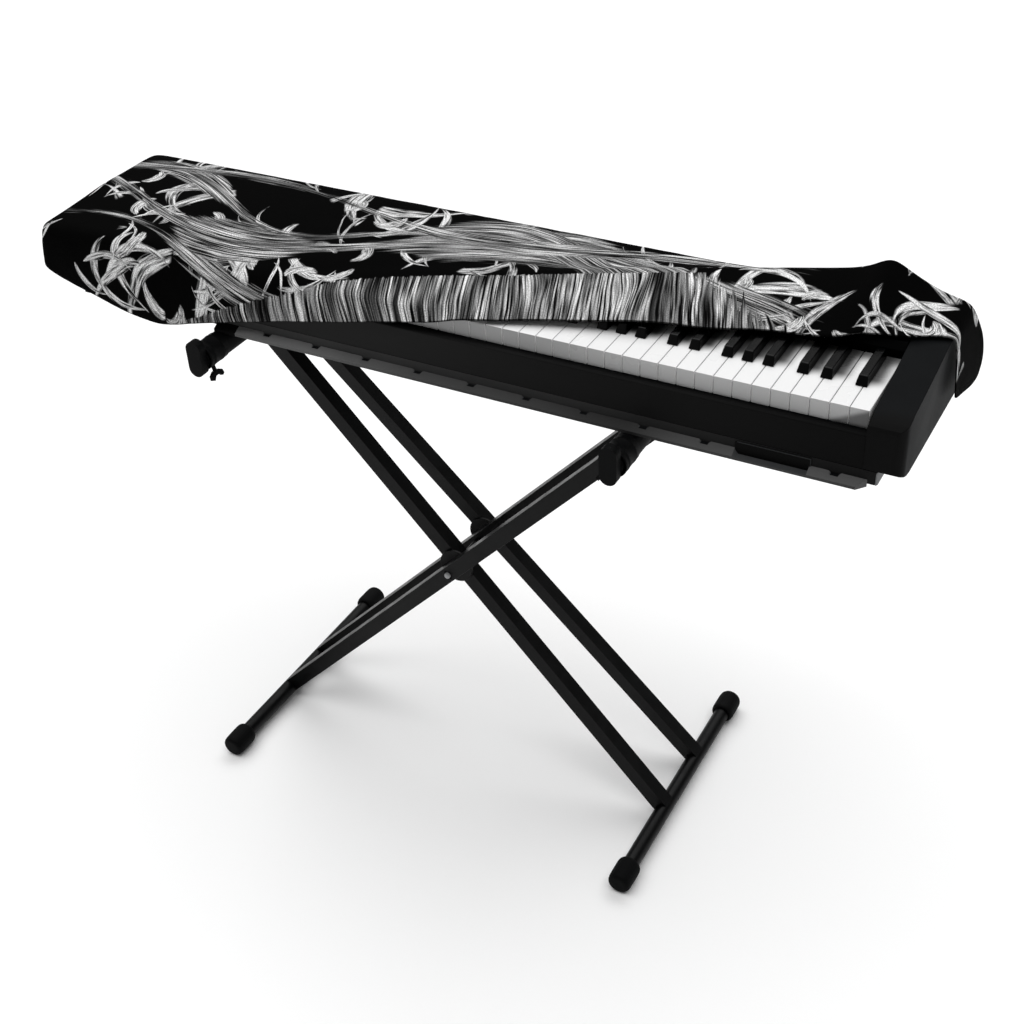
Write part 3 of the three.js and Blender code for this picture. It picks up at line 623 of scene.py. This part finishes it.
KEY_EDGE = (-7, 7.5)
BLOCK_EDGE = (-18, 14)
BLOCK_BLEND = (-1050, -995)
REST_PROFILE = ((50, 16), (130, 22), (232, 22))
TOP_STATIONS = (-62, -34, -9, 8, 28, 56, 94, 138, 172, 205, 233)
FRONT_STEPS = SKIRT_STEPS + sum(station < 0 for station in TOP_STATIONS)
REAR_STEPS = FRONT_STEPS
REAR_SHOULDER = ((236.5, 21.5), (241, 17.5))
CREASE_FALL = 16
SHOULDER_PUSH = {"from": 195, "to": 238, "size": 7}
REAR_BULGE = 5
FRONT_BULGE = 3
# The right end flap, a row for each step down: its front edge and its rear corner
RIGHT_FLAP_TABLE = (
    (50.5, 157, 21.2, 52.5, 245.5, 13),
    (53.5, 156, 8, 58, 249, -3),
    (55.5, 157, -12, 62.5, 252, -20),
    (57, 158, -32, 65, 254.5, -42),
    (58, 160, -50, 66, 256, -63),
    (58.5, 162, -60, 64.5, 256.5, -84),
)
LEFT_FLAP_LEAN = 4
# Soft folds in the top panel: middle x and y, height, and reach along x and y
FOLD_TABLE = (
    (-1150, 70, 1.5, 60, 45),
    (-640, 215, 1.2, 110, 26),
    (-1010, 40, 1.2, 45, 60),
)
REAR_WAVE = {"size": 3.5, "length": 168, "steps": 0.9}
HEM_WAVE = {"size": 1.2, "length": 74}
CLOTH_THICKNESS = 1.6
COVER_CORNER = {"rear": 246, "radius": 22}
LEFT_END = {"left": -1211, "front": -27, "fold": 14, "hem": -60, "reach": 30, "out": 3, "flare": 7,
            "back": 200}
# Hem corners that are rounded: x, y, height of the fold, reach, and share of the drop that is lost
HEM_CORNERS = (
    (-1211, -27, 14, 34, 0.34),
    (65, 256, 16, 40, 0.17),
)
WRINKLE = {"flat": 0.5, "hanging": 1.1}
# How far from the cloth's edge, in metres, the distance to it is told
HEM_REACH = 0.03


def curve_through(places, values, at):
    """A smooth curve through values at uneven places, with level ends."""
    k = 0
    while k < len(places) - 2 and at > places[k + 1]:
        k += 1
    span = places[k + 1] - places[k]
    t = min(1.0, max(0.0, (at - places[k]) / span))

    def slope(i):
        if i == 0 or i == len(places) - 1:
            return 0.0
        before = (values[i] - values[i - 1]) / (places[i] - places[i - 1])
        after = (values[i + 1] - values[i]) / (places[i + 1] - places[i])
        return 0.0 if before * after <= 0 else 2 * before * after / (before + after)

    t2 = t * t
    t3 = t2 * t
    return ((2 * t3 - 3 * t2 + 1) * values[k] + (t3 - 2 * t2 + t) * span * slope(k)
            + (3 * t2 - 2 * t3) * values[k + 1] + (t3 - t2) * span * slope(k + 1))


def row_at(x):
    places, *columns = zip(*SECTION_TABLE)
    row = {name: curve_through(places, column, x) for name, column in zip(SECTION_COLUMNS, columns)}
    return {"x": x, **row}


def fold_height(x, y):
    return sum(height * math.exp(-((x - mid_x) / reach_x) ** 2 - ((y - mid_y) / reach_y) ** 2)
               for mid_x, mid_y, height, reach_x, reach_y in FOLD_TABLE)


def front_edge_at(x):
    """Where the cloth bends over the front: on the keys, or on the higher left block."""
    t = smoothstep(x, *BLOCK_BLEND)
    return [lerp(block, key, t) for block, key in zip(BLOCK_EDGE, KEY_EDGE)]


def skirt_point(row, t):
    """A point of the front skirt, from the hem at 0 to the crease at 1."""
    def through(a, b, c):
        return lerp(a, b, 2 * t) if t < 0.5 else lerp(b, c, 2 * t - 1)
    wave = abs(HEM_WAVE["size"] * (1 - t) * math.sin(row["x"] / HEM_WAVE["length"] * 2 * math.pi))
    y = through(row["hem_y"], row["mid_y"], row["crease_y"])
    z = through(row["hem_z"], row["mid_z"], row["crease_z"])
    return (row["x"], y - wave, z) if row["hem_z"] < 0 else (row["x"], y, z + wave)


def rest_height(x, y):
    return curve_through(*zip(front_edge_at(x), *REST_PROFILE), y)


def is_hanging(row):
    edge_y, edge_z = front_edge_at(row["x"])
    return row["crease_y"] < edge_y + 2 and row["crease_z"] < edge_z


def crease_lift(row, y):
    """How much the crease lifts the cloth behind it."""
    if is_hanging(row):
        return 0.0
    rise = row["crease_z"] - rest_height(row["x"], row["crease_y"])
    return rise * math.exp(-((y - row["crease_y"]) / CREASE_FALL) ** 2)


def shoulder_points(row):
    push = SHOULDER_PUSH["size"] * smoothstep(row["crease_y"], SHOULDER_PUSH["from"], SHOULDER_PUSH["to"])
    return [(row["x"], y + push, z + crease_lift(row, y + push)) for y, z in REAR_SHOULDER]


def top_points(row):
    """Points of the top panel, from just past the crease to the rear shoulder."""
    edge_y, edge_z = front_edge_at(row["x"])
    drop = math.hypot(row["crease_y"] - edge_y, row["crease_z"] - edge_z)
    start = -drop if is_hanging(row) else row["crease_y"] - edge_y
    end = shoulder_points(row)[0][1] - edge_y
    points = []
    for k, station in enumerate(TOP_STATIONS):
        share = (k + 1) / (len(TOP_STATIONS) + 1)
        along = min(max(station, lerp(start, end, share * 0.75)), lerp(start, end, share))
        if along < 0:
            t = along / start
            out = FRONT_BULGE * math.sin(math.pi * t)
            y, z = lerp(edge_y, row["crease_y"], t) - out, lerp(edge_z, row["crease_z"], t)
        else:
            y = edge_y + along
            z = rest_height(row["x"], y) + crease_lift(row, y) + fold_height(row["x"], y)
        points.append((row["x"], y, z))
    return points


def rear_points(row):
    _, top_y, top_z = shoulder_points(row)[1]
    points = []
    for k in range(1, REAR_STEPS + 1):
        t = k / REAR_STEPS
        turn = row["x"] / REAR_WAVE["length"] * 2 * math.pi + REAR_WAVE["steps"] * t
        wave = REAR_WAVE["size"] * t * math.sin(turn)
        y = top_y + REAR_BULGE * math.sqrt(t) + max(-2, wave)
        points.append((row["x"], y, lerp(top_z, row["rear_hem_z"], t)))
    return points


def section(x):
    """A whole cross-section: front hem, crease, top panel, rear shoulder, rear hem."""
    row = row_at(x)
    skirt = [skirt_point(row, k / SKIRT_STEPS) for k in range(SKIRT_STEPS + 1)]
    return [*skirt, *top_points(row), *shoulder_points(row), *rear_points(row)]


def left_flap(column, first, last):
    front_edge = column[:first + 1][::-1]
    rear_edge = column[last:]
    tops = column[first:last + 1]
    rows = []
    for j, top in enumerate(tops):
        t = j / (len(tops) - 1)
        across = (top[1] - tops[0][1]) / (tops[-1][1] - tops[0][1])
        points = []
        for k, front in enumerate(front_edge):
            rear = rear_edge[k]
            down = lerp(front[2] - front_edge[0][2], rear[2] - rear_edge[0][2], across)
            lean = LEFT_FLAP_LEAN * math.sin(math.pi * t) * math.sqrt(k / REAR_STEPS)
            points.append((top[0] - lean, top[1], top[2] + down))
        rows.append(points)
    rows[0], rows[-1] = front_edge, rear_edge
    return rows


def right_flap(column, last):
    count = len(RIGHT_FLAP_TABLE)
    places = [(k + 1) / count for k in range(count)]
    steps = []
    for k in range(REAR_STEPS):
        at = lerp(places[0], 1, k / (REAR_STEPS - 1))
        steps.append([curve_through(places, values, at) for values in zip(*RIGHT_FLAP_TABLE)])
    front_top, rear_top = column[0], column[last]
    rows = []
    for top in column[:last + 1]:
        across = (top[1] - front_top[1]) / (rear_top[1] - front_top[1])
        points = [top]
        for k, step in enumerate(steps):
            t = (k + 1) / len(steps)
            lift = (top[2] - lerp(front_top[2], rear_top[2], across)) * (1 - t) ** 2
            x, y, z = (lerp(front, rear, across) for front, rear in zip(step[:3], step[3:]))
            points.append((x, y, z + lift))
        rows.append(points)
    return rows


def distances(points):
    """How far along the line of points each of them is."""
    steps = [0.0] + [math.dist(a, b) for a, b in zip(points, points[1:])]
    return list(np.cumsum(steps))


def cover_patches():
    """The cover's three patches: rows of (point, place on the print, how far down the skirt)."""
    places = [row[0] for row in SECTION_TABLE]
    sections = [section(lerp(here, there, step / ROW_STEPS))
                for here, there in zip(places, places[1:]) for step in range(ROW_STEPS)]
    sections.append(section(places[-1]))
    shoulder = len(sections[0]) - 1 - REAR_STEPS

    def printed(points):
        along = distances(points)
        return [(point, (point[0], along[shoulder] - here), max(0.0, along[SKIRT_STEPS] - here))
                for point, here in zip(points, along)]

    def printed_flap(rows, tops, side):
        return [[(point, (points[0][0] + side * down, top[1][1]), 0.0)
                 for point, down in zip(points, distances(points))] for points, top in zip(rows, tops)]

    main = [printed(points) for points in sections]
    left = left_flap(sections[0], FRONT_STEPS, shoulder)
    right = right_flap(sections[-1], shoulder)
    return main, printed_flap(left, main[0][FRONT_STEPS:], -1), printed_flap(right, main[-1], 1)


def cover_sheet(material):
    """The cover's middle surface as one welded mesh, with its places on the print as a UV map."""
    mesh = bmesh.new()
    print_map = mesh.loops.layers.uv.new("print")
    skirt = mesh.verts.layers.float.new("skirt")
    known = {}

    def vertex(entry):
        point, _, down = entry
        key = tuple(round(value, 3) for value in point)
        if key not in known:
            known[key] = mesh.verts.new(from_keys(*point))
            known[key][skirt] = down * MM
        return known[key]

    for rows, turned in zip(cover_patches(), (False, False, True)):
        for near, far in zip(rows, rows[1:]):
            for j in range(len(near) - 1):
                corners = [near[j], far[j], far[j + 1], near[j + 1]]
                if turned:
                    corners.reverse()
                vertices = [vertex(corner) for corner in corners]
                kept = [k for k in range(4) if vertices[k] not in vertices[:k]]
                if len(kept) < 3:
                    continue
                face = mesh.faces.new([vertices[k] for k in kept])
                for loop, k in zip(face.loops, kept):
                    loop[print_map].uv = [value * MM for value in corners[k][1]]
    data = bpy.data.meshes.new("cover_sheet")
    mesh.to_mesh(data)
    mesh.free()
    data.materials.append(material)
    return placed("cover_cloth", data)


def apply_modifiers(piece):
    graph = bpy.context.evaluated_depsgraph_get()
    shape = piece.evaluated_get(graph)
    piece.data = bpy.data.meshes.new_from_object(shape, preserve_all_data_layers=True, depsgraph=graph)
    piece.modifiers.clear()


def round_corner(x, y, z):
    """Rounds the rear left corner, seen from above, from a square one to a quarter circle."""
    radius = COVER_CORNER["radius"]
    a = (SECTION_TABLE[0][0] + radius - x) / radius
    b = (y - COVER_CORNER["rear"] + radius) / radius
    if a > 0 and b > 0:
        x += radius * a * (1 - math.sqrt(max(0.0, 1 - b * b / 2)))
        y -= radius * b * (1 - math.sqrt(max(0.0, 1 - a * a / 2)))
    return x, y, z


def round_hem_corners(x, y, z):
    for x0, y0, fold, reach, rise in HEM_CORNERS:
        beyond = abs(x - x0) + abs(y - y0)
        if z < fold and beyond < reach:
            share = 1 - beyond / reach
            z += (fold - z) * rise * (1 - math.sqrt(max(0.0, 1 - share * share)))
    return x, y, z


def hang_left_end(x, y, z):
    """Lets the left end hang out a little."""
    end = LEFT_END
    depth = min(1.0, max(0.0, (end["fold"] - z) / (end["fold"] - end["hem"])))
    near = smoothstep(-x, -end["left"] - end["reach"], -end["left"])
    back = min(1.0, max(0.0, (y - end["front"]) / end["back"]))
    return x - near * (end["out"] + end["flare"] * depth) * (1 - 0.7 * back), y, z


def wrinkle(piece):
    """Small soft wrinkles, fewer where the cloth lies flat on the keyboard."""
    moves = []
    for vertex in piece.data.vertices:
        x, y, z = in_keys(vertex.co)
        loose = smoothstep(-z, -20, 40)
        size = lerp(WRINKLE["flat"], WRINKLE["hanging"], loose)
        long_wave = noise.noise(Vector((x / 38, y / 60, z / 90)))
        short_wave = noise.noise(Vector((x / 13 + 50, y / 22, z / 40)))
        moves.append(vertex.normal * ((long_wave + 0.35 * short_wave) * size * MM))
    for vertex, move in zip(piece.data.vertices, moves):
        vertex.co += move


def free_edge(mesh):
    """The points round the sheet's edge, in order."""
    chain = [next(edge for edge in mesh.edges if edge.is_boundary).verts[0]]
    while True:
        step = next(edge.other_vert(chain[-1]) for edge in chain[-1].link_edges
                    if edge.is_boundary and edge.other_vert(chain[-1]) not in chain[-2:-1])
        if step == chain[0]:
            return chain
        chain.append(step)


def mark_hem(piece):
    """Writes how far each point is from the nearest free edge, and how far along that edge."""
    with editing(piece) as mesh:
        hem = mesh.verts.layers.float.new("hem")
        stitch = mesh.verts.layers.float.new("stitch")
        chain = free_edge(mesh)
        along = distances([vertex.co for vertex in chain])
        tree = KDTree(len(chain))
        for k, vertex in enumerate(chain):
            tree.insert(vertex.co, k)
        tree.balance()
        for vertex in mesh.verts:
            _, index, near = tree.find(vertex.co)
            ahead = (chain[(index + 1) % len(chain)].co - chain[index - 1].co).normalized()
            offset = vertex.co - chain[index].co
            step = offset.dot(ahead)
            vertex[hem] = (offset - ahead * step).length if near < HEM_REACH else HEM_REACH
            vertex[stitch] = along[index] + step


cloth = printed_knit("printed_knit")
cover = cover_sheet(cloth)
smooth = cover.modifiers.new("smooth", "SUBSURF")
smooth.levels = 2
apply_modifiers(cover)
for vertex in cover.data.vertices:
    place = in_keys(vertex.co)
    for rule in (round_corner, round_hem_corners, hang_left_end):
        place = rule(*place)
    vertex.co = from_keys(*place)
wrinkle(cover)
mark_hem(cover)
smooth_faces(cover)
skin = cover.modifiers.new("cloth_thickness", "SOLIDIFY")
skin.thickness = CLOTH_THICKNESS * MM
skin.offset = 0.0
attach(cover, "root")
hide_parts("cover")


# Keyboard

BOX_FACES = ((3, 2, 1, 0), (4, 5, 6, 7), (0, 1, 5, 4), (1, 2, 6, 5), (2, 3, 7, 6), (3, 0, 4, 7))


def box_points(x0, x1, y0, y1, z0, z1):
    return [(x, y, z) for z in (z0, z1) for x, y in ((x0, y0), (x1, y0), (x1, y1), (x0, y1))]


def boxes_piece(name, boxes, material):
    """A piece of solids of six sides, each given by its eight corners."""
    points = [from_keys(*point) for box in boxes for point in box]
    faces = [tuple(k + 8 * i for k in face) for i in range(len(boxes)) for face in BOX_FACES]
    return new_piece(name, points, faces, material)


def white_key(number):
    """A key, counted from the right end."""
    half = WHITE_KEY["gap"] / 2
    return box_points(-KEY_PITCH * (number + 1) + half, -KEY_PITCH * number - half, 0, WHITE_KEY["length"],
                      -WHITE_KEY["height"], 0)


def black_key(gap):
    """The key over a gap between white keys, narrower and further back at the top."""
    middle = BLACK_KEY_SHIFTS[gap % 7] - KEY_PITCH * gap
    points = []
    for width, front, z in (BLACK_KEY["foot"], BLACK_KEY["top"]):
        points += box_points(middle - width / 2, middle + width / 2, front, BLACK_KEY["rear"], z, z)[:4]
    return points


boxes = [white_key(k) for k in range(WHITE_KEYS)]
white_keys = boxes_piece("white_key_set", boxes, white_plastic)
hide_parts("white_keys")
soften(white_keys, WHITE_KEY["bevel"])
boxes = [black_key(k) for k in range(1, WHITE_KEYS) if k % 7 in BLACK_KEY_SHIFTS]
black_keys = boxes_piece("black_key_set", boxes, black_plastic)
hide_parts("black_keys")
soften(black_keys, BLACK_KEY["bevel"])


# Ledge along the keyboard's lower front edge, with slots in its upper edge and one recess

LEDGE = {"back": -10.3, "front": -22, "top": -84, "lip": -90, "bottom": -94, "left": -920, "right": 8,
         "bevel": 10, "slot_floor": -86.6, "recess_floor": -91, "dark_left": -884}
SLOTS = {"first": -30, "pitch": 80.5, "length": 9.5, "ramp": 3, "places": (0, 2, 3, 4, 5, 6, 7, 8, 9, 10)}
RECESS = {"left": -148, "right": -61, "ramp": 5}
RECESS_LID = {"top": -75, "thickness": 1.4, "rim": 1.0, "proud": 0.5}
TRAY_END = {"between": (17.2, 18.4),
            "outline": ((-2, -94), (232, -94), (238, -88), (238, -84.6), (24, -83.2), (10, -81.3),
                        (0, -77.3), (-8, -73.3), (-10, -73), (-10, -90))}


def ledge_row(x, kind="plain"):
    """The ledge's cross-section, plain, on a slot's floor or in the recess."""
    back, front, top, lip = (LEDGE[name] for name in ("back", "front", "top", "lip"))
    shelf = LEDGE["slot_floor"]
    middle = lerp(back, front, (top - shelf) / (top - lip))
    if kind == "recess":
        shelf = lip = top = LEDGE["recess_floor"]
    elif kind == "slot":
        top = shelf
    bottom = LEDGE["bottom"]
    return [(x, back, bottom), (x, front, bottom), (x, front, lip), (x, middle, shelf), (x, back, top)]


def ledge_rows():
    """The ledge's cross-sections from left to right, and the kind of each."""
    marks = [(LEDGE["dark_left"], "plain"), (RECESS["left"] - RECESS["ramp"], "plain"),
             (RECESS["left"], "recess"), (RECESS["right"], "recess"), (RECESS["right"] + 0.01, "plain")]
    half = SLOTS["length"] / 2
    for place in SLOTS["places"]:
        middle = SLOTS["first"] - SLOTS["pitch"] * place
        marks += [(middle - half - SLOTS["ramp"], "plain"), (middle - half, "slot"),
                  (middle + half, "slot"), (middle + half + SLOTS["ramp"], "plain")]
    marks.sort()
    rows = [ledge_row(LEDGE["left"])] + [ledge_row(x, kind) for x, kind in marks]
    kinds = ["plain", *(kind for _, kind in marks), "plain"]
    right, bevel = LEDGE["right"], LEDGE["bevel"]
    reach = LEDGE["back"] - LEDGE["front"]
    rows.append([(right - bevel * (LEDGE["back"] - y) / reach, y, z) for _, y, z in ledge_row(0)])
    return rows, kinds


def make_ledge():
    """The ledge, its slot floors dark with painted shade and its left end dark, and its front lip in a grey
    of its own.
    """
    rows, kinds = ledge_rows()
    places = [[from_keys(*point) for point in row] for row in rows]
    ledge = swept_piece("ledge_moulding", places, ledge_plastic)
    ledge.data.materials.append(body_plastic)
    ledge.data.materials.append(lip_plastic)
    for i in range(len(rows) - 1):
        lip, shelf = (ledge.data.polygons[i * len(rows[0]) + k] for k in (1, 3))
        lip.material_index = 2
        # Slot floors in the dark body plastic: painted shade in the slots
        if kinds[i] == kinds[i + 1] == "slot":
            shelf.material_index = 1
    for polygon in ledge.data.polygons[:len(rows[0])]:
        polygon.material_index = 1
    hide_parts("front_ledge")
    soften(ledge, 0.4, 2)


def make_recess():
    """The dark lid in the ledge's recess, with a thin raised rim along its top and right side whose lighter
    grey is a painted highlight.
    """
    low, high = LEDGE["recess_floor"] - 1, RECESS_LID["top"]
    left, right = RECESS["left"] - RECESS["ramp"], RECESS["right"] + 1
    back, front = LEDGE["back"], LEDGE["back"] - RECESS_LID["thickness"]
    lid = boxes_piece("recess_lid", [box_points(left, right, front, back, low, high)], body_plastic)
    soften(lid, 0.4, 2)
    rim, proud = RECESS_LID["rim"], front - RECESS_LID["proud"]
    bars = [box_points(left + 3, right, proud, back, high, high + rim),
            box_points(right, right + rim, proud, back, LEDGE["top"], high + rim)]
    soften(boxes_piece("recess_rim", bars, rim_highlight_plastic), 0.3, 2)


def make_tray_end():
    """The pale cap on the tray's right end."""
    rows = [[from_keys(x, y, z) for y, z in TRAY_END["outline"]] for x in TRAY_END["between"]]
    soften(swept_piece("tray_end_cap", rows, end_plastic), 0.3, 2)


make_ledge()
make_recess()
make_tray_end()


# Stand: caps, arm boots and hinge bolts

CAP_PROFILE = ((12.3, 30), (12.3, 0.8), (12.8, 0.1), (14.6, 0), (16.0, 1.2), (17.1, 3.2), (17.7, 6),
               (17.9, 9), (17.9, 20), (17.8, 30), (17.5, 36), (16.9, 39.5), (15.6, 42), (13.4, 43.5),
               (10.6, 44), (7, 44))
CAP_RIBS = {"count": 30, "depth": 0.35, "from": 8, "to": 37}
# How far below its top a cap's axis is, and how far below the axis its flat foot
CAP_AXIS = 18
CAP_FOOT = 16.5
BOOT_PROFILE = ((18.3, 0), (19.1, 0), (19.5, 0.6), (19.5, 3.4), (19.0, 4.2), (19.0, 8), (19.5, 8.8),
                (19.5, 11.4), (19.0, 12.2), (19.0, 28), (19.4, 28.8), (19.4, 31.2), (19.0, 32),
                (19.0, 39), (18.5, 40.4), (18.3, 40.4))
# How far in front of its tube's end a boot starts
BOOT_START = 25.8
BOLT_PROFILE = ((4.6, 0), (4.6, 2.4), (4.3, 3.4), (3.4, 4.2), (2.0, 4.7), (0.6, 4.8))
CLIP_PROFILE = ((5.2, 0), (7.6, 0), (7.6, 1.4), (5.2, 1.4))
CLIP_ANGLES = range(135, 316, 15)
ENDS = (("front", -1), ("back", 1))


def make_clip(name, base, forward):
    """An open ring clipped round the hinge bolt."""
    rows = []
    for angle in map(math.radians, CLIP_ANGLES):
        rows.append([base + Vector((r * math.cos(angle), forward * out, r * math.sin(angle))) * MM
                     for r, out in CLIP_PROFILE])
    soften(swept_piece(name, rows, paint), 0.3, 2)


def box_end(low, high, forward):
    """The middle of the end of a box that the forward sign points away from."""
    return Vector(((low.x + high.x) / 2, high.y if forward < 0 else low.y, (low.z + high.z) / 2))


for side in ("left", "right"):
    for end, forward in ENDS:
        node_name = f"foot_cap_{side}_{end}"
        low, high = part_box(node_name)
        base = box_end(low, high, forward)
        base.z = high.z - CAP_AXIS * MM
        rubber_cap = turned_piece(f"rubber_cap_{side}_{end}", CAP_PROFILE, base, rubber, 120,
                                  forward, CAP_RIBS, CAP_FOOT)
        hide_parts(node_name)
    low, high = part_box(f"arm_tube_{side}")
    base = box_end(low, high, 1) - Vector((0, BOOT_START * MM, 0))
    turned_piece(f"arm_boot_{side}", BOOT_PROFILE, base, rubber, 64, ring_shaped=True)

for end, forward in ENDS:
    low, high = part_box(f"hinge_bolt_{end}")
    base = box_end(low, high, forward)
    bolt = turned_piece(f"hinge_bolt_head_{end}", BOLT_PROFILE, base, steel, 32, forward)
    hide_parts(f"hinge_bolt_{end}")
    make_clip(f"hinge_clip_{end}", base, forward)


# CAD nodes that stay: material, edge rounding in millimetres, names
NODE_FINISH = (
    (tray_plastic, 1.0, "base_tray"),
    (rail_plastic, 0.6, "front_rail"),
    (body_plastic, 0.4, "key_bed"),
    (hem_shaded_deck_plastic, 1.0, "rear_deck"),
    (body_plastic, 1.5, "left_block"),
    (body_plastic, 2.0, "right_cheek"),
    (paint, 2.2, "leg_front_left_top", "leg_front_right_top", "leg_back_left_top", "leg_back_right_top"),
    (paint, 0.5, "foot_bar_left", "foot_bar_right"),
    (paint, 0.4, "arm_tube_left", "arm_tube_right"),
    (rubber, 0.6, "arm_sleeve_left", "arm_sleeve_right", "arm_knob_left", "arm_knob_right"),
    (rubber, 1.2, "arm_stop_left", "arm_stop_right"),
    (paint, 0.6, "hinge_plate_front", "hinge_plate_back"),
    (paint, 0.3, "hinge_rod"),
)
for material, rounding, *names in NODE_FINISH:
    for name in names:
        nodes[name].data.materials.clear()
        nodes[name].data.materials.append(material)
        soften(nodes[name], rounding, angle=35)


# Floor, light and camera

CAMERA = {"place": (0.9425, -1.533, 1.744), "yaw": -30.29, "pitch": 35.76, "roll": -3.15, "lens": 53.19}
FLOOR = {"half": 400.0, "z": -0.0005}


def make_camera():
    yaw, pitch, roll = (math.radians(CAMERA[name]) for name in ("yaw", "pitch", "roll"))
    data = bpy.data.cameras.new("camera")
    data.lens = CAMERA["lens"]
    camera = placed("camera", data)
    turn = Matrix.Rotation(-yaw, 4, "Z") @ Matrix.Rotation(math.pi / 2 - pitch, 4, "X")
    camera.matrix_world = Matrix.Translation(CAMERA["place"]) @ turn @ Matrix.Rotation(roll, 4, "Z")
    bpy.context.scene.camera = camera


def make_floor():
    data = bpy.data.meshes.new("floor")
    half, z = FLOOR["half"], FLOOR["z"]
    data.from_pydata(box_points(-half, half, -half, half, z, z)[:4], [], [(0, 1, 2, 3)])
    graph = Graph("floor_paint")
    speck = graph.noise(graph.place(), 300.0, 3.0, 0.6)
    graph.set(Base_Color=graph.mix(speck, grey(249), grey(252)), Roughness=0.9)
    data.materials.append(graph.material)
    floor = placed("floor", data)


# A broad soft light from above: its direction, its strength, and its width in degrees
TOP_LIGHT = {"from": (-0.16, 0.2, 1.0), "strength": 3.15, "width": 85}
# Smaller soft lights that shine at one point: name, place and power in watts
LIGHTS = (
    ("front_light", (-1.6, -3.2, 2.4), 2),
    ("side_light", (3.4, -0.4, 2.0), 0.8),
)
LIGHT_TARGET = (0, 0, 0.5)
LIGHT_SIZE = {"size": 2.0, "size_y": 1.6}
WORLD_STRENGTH = 0.22


def add_light(name, kind, place, target, energy, **settings):
    data = bpy.data.lights.new(name, kind)
    data.energy = energy
    for key, value in settings.items():
        setattr(data, key, value)
    lamp = placed(name, data)
    lamp.location = place
    lamp.rotation_euler = (Vector(target) - Vector(place)).to_track_quat("-Z", "Y").to_euler()


def make_lights():
    add_light("top_light", "SUN", TOP_LIGHT["from"], (0, 0, 0), TOP_LIGHT["strength"],
              angle=math.radians(TOP_LIGHT["width"]))
    for name, place, power in LIGHTS:
        add_light(name, "AREA", place, LIGHT_TARGET, power, shape="RECTANGLE", **LIGHT_SIZE)


def make_world():
    """Plain white light from all round, and walls that look as white as the floor."""
    world = bpy.data.worlds.new("studio")
    bpy.context.scene.world = world
    world.use_nodes = True
    tree = world.node_tree
    light = tree.nodes["Background"]
    walls = tree.nodes.new("ShaderNodeBackground")
    seen = tree.nodes.new("ShaderNodeLightPath")
    either = tree.nodes.new("ShaderNodeMixShader")
    tree.links.new(seen.outputs["Is Camera Ray"], either.inputs["Fac"])
    for background, strength, socket in ((light, WORLD_STRENGTH, 1), (walls, 1.0, 2)):
        background.inputs["Color"].default_value = (1, 1, 1, 1)
        background.inputs["Strength"].default_value = strength
        tree.links.new(background.outputs["Background"], either.inputs[socket])
    tree.links.new(either.outputs["Shader"], tree.nodes["World Output"].inputs["Surface"])
    bpy.context.scene.view_settings.view_transform = "Standard"


make_camera()
make_floor()
make_lights()
make_world()
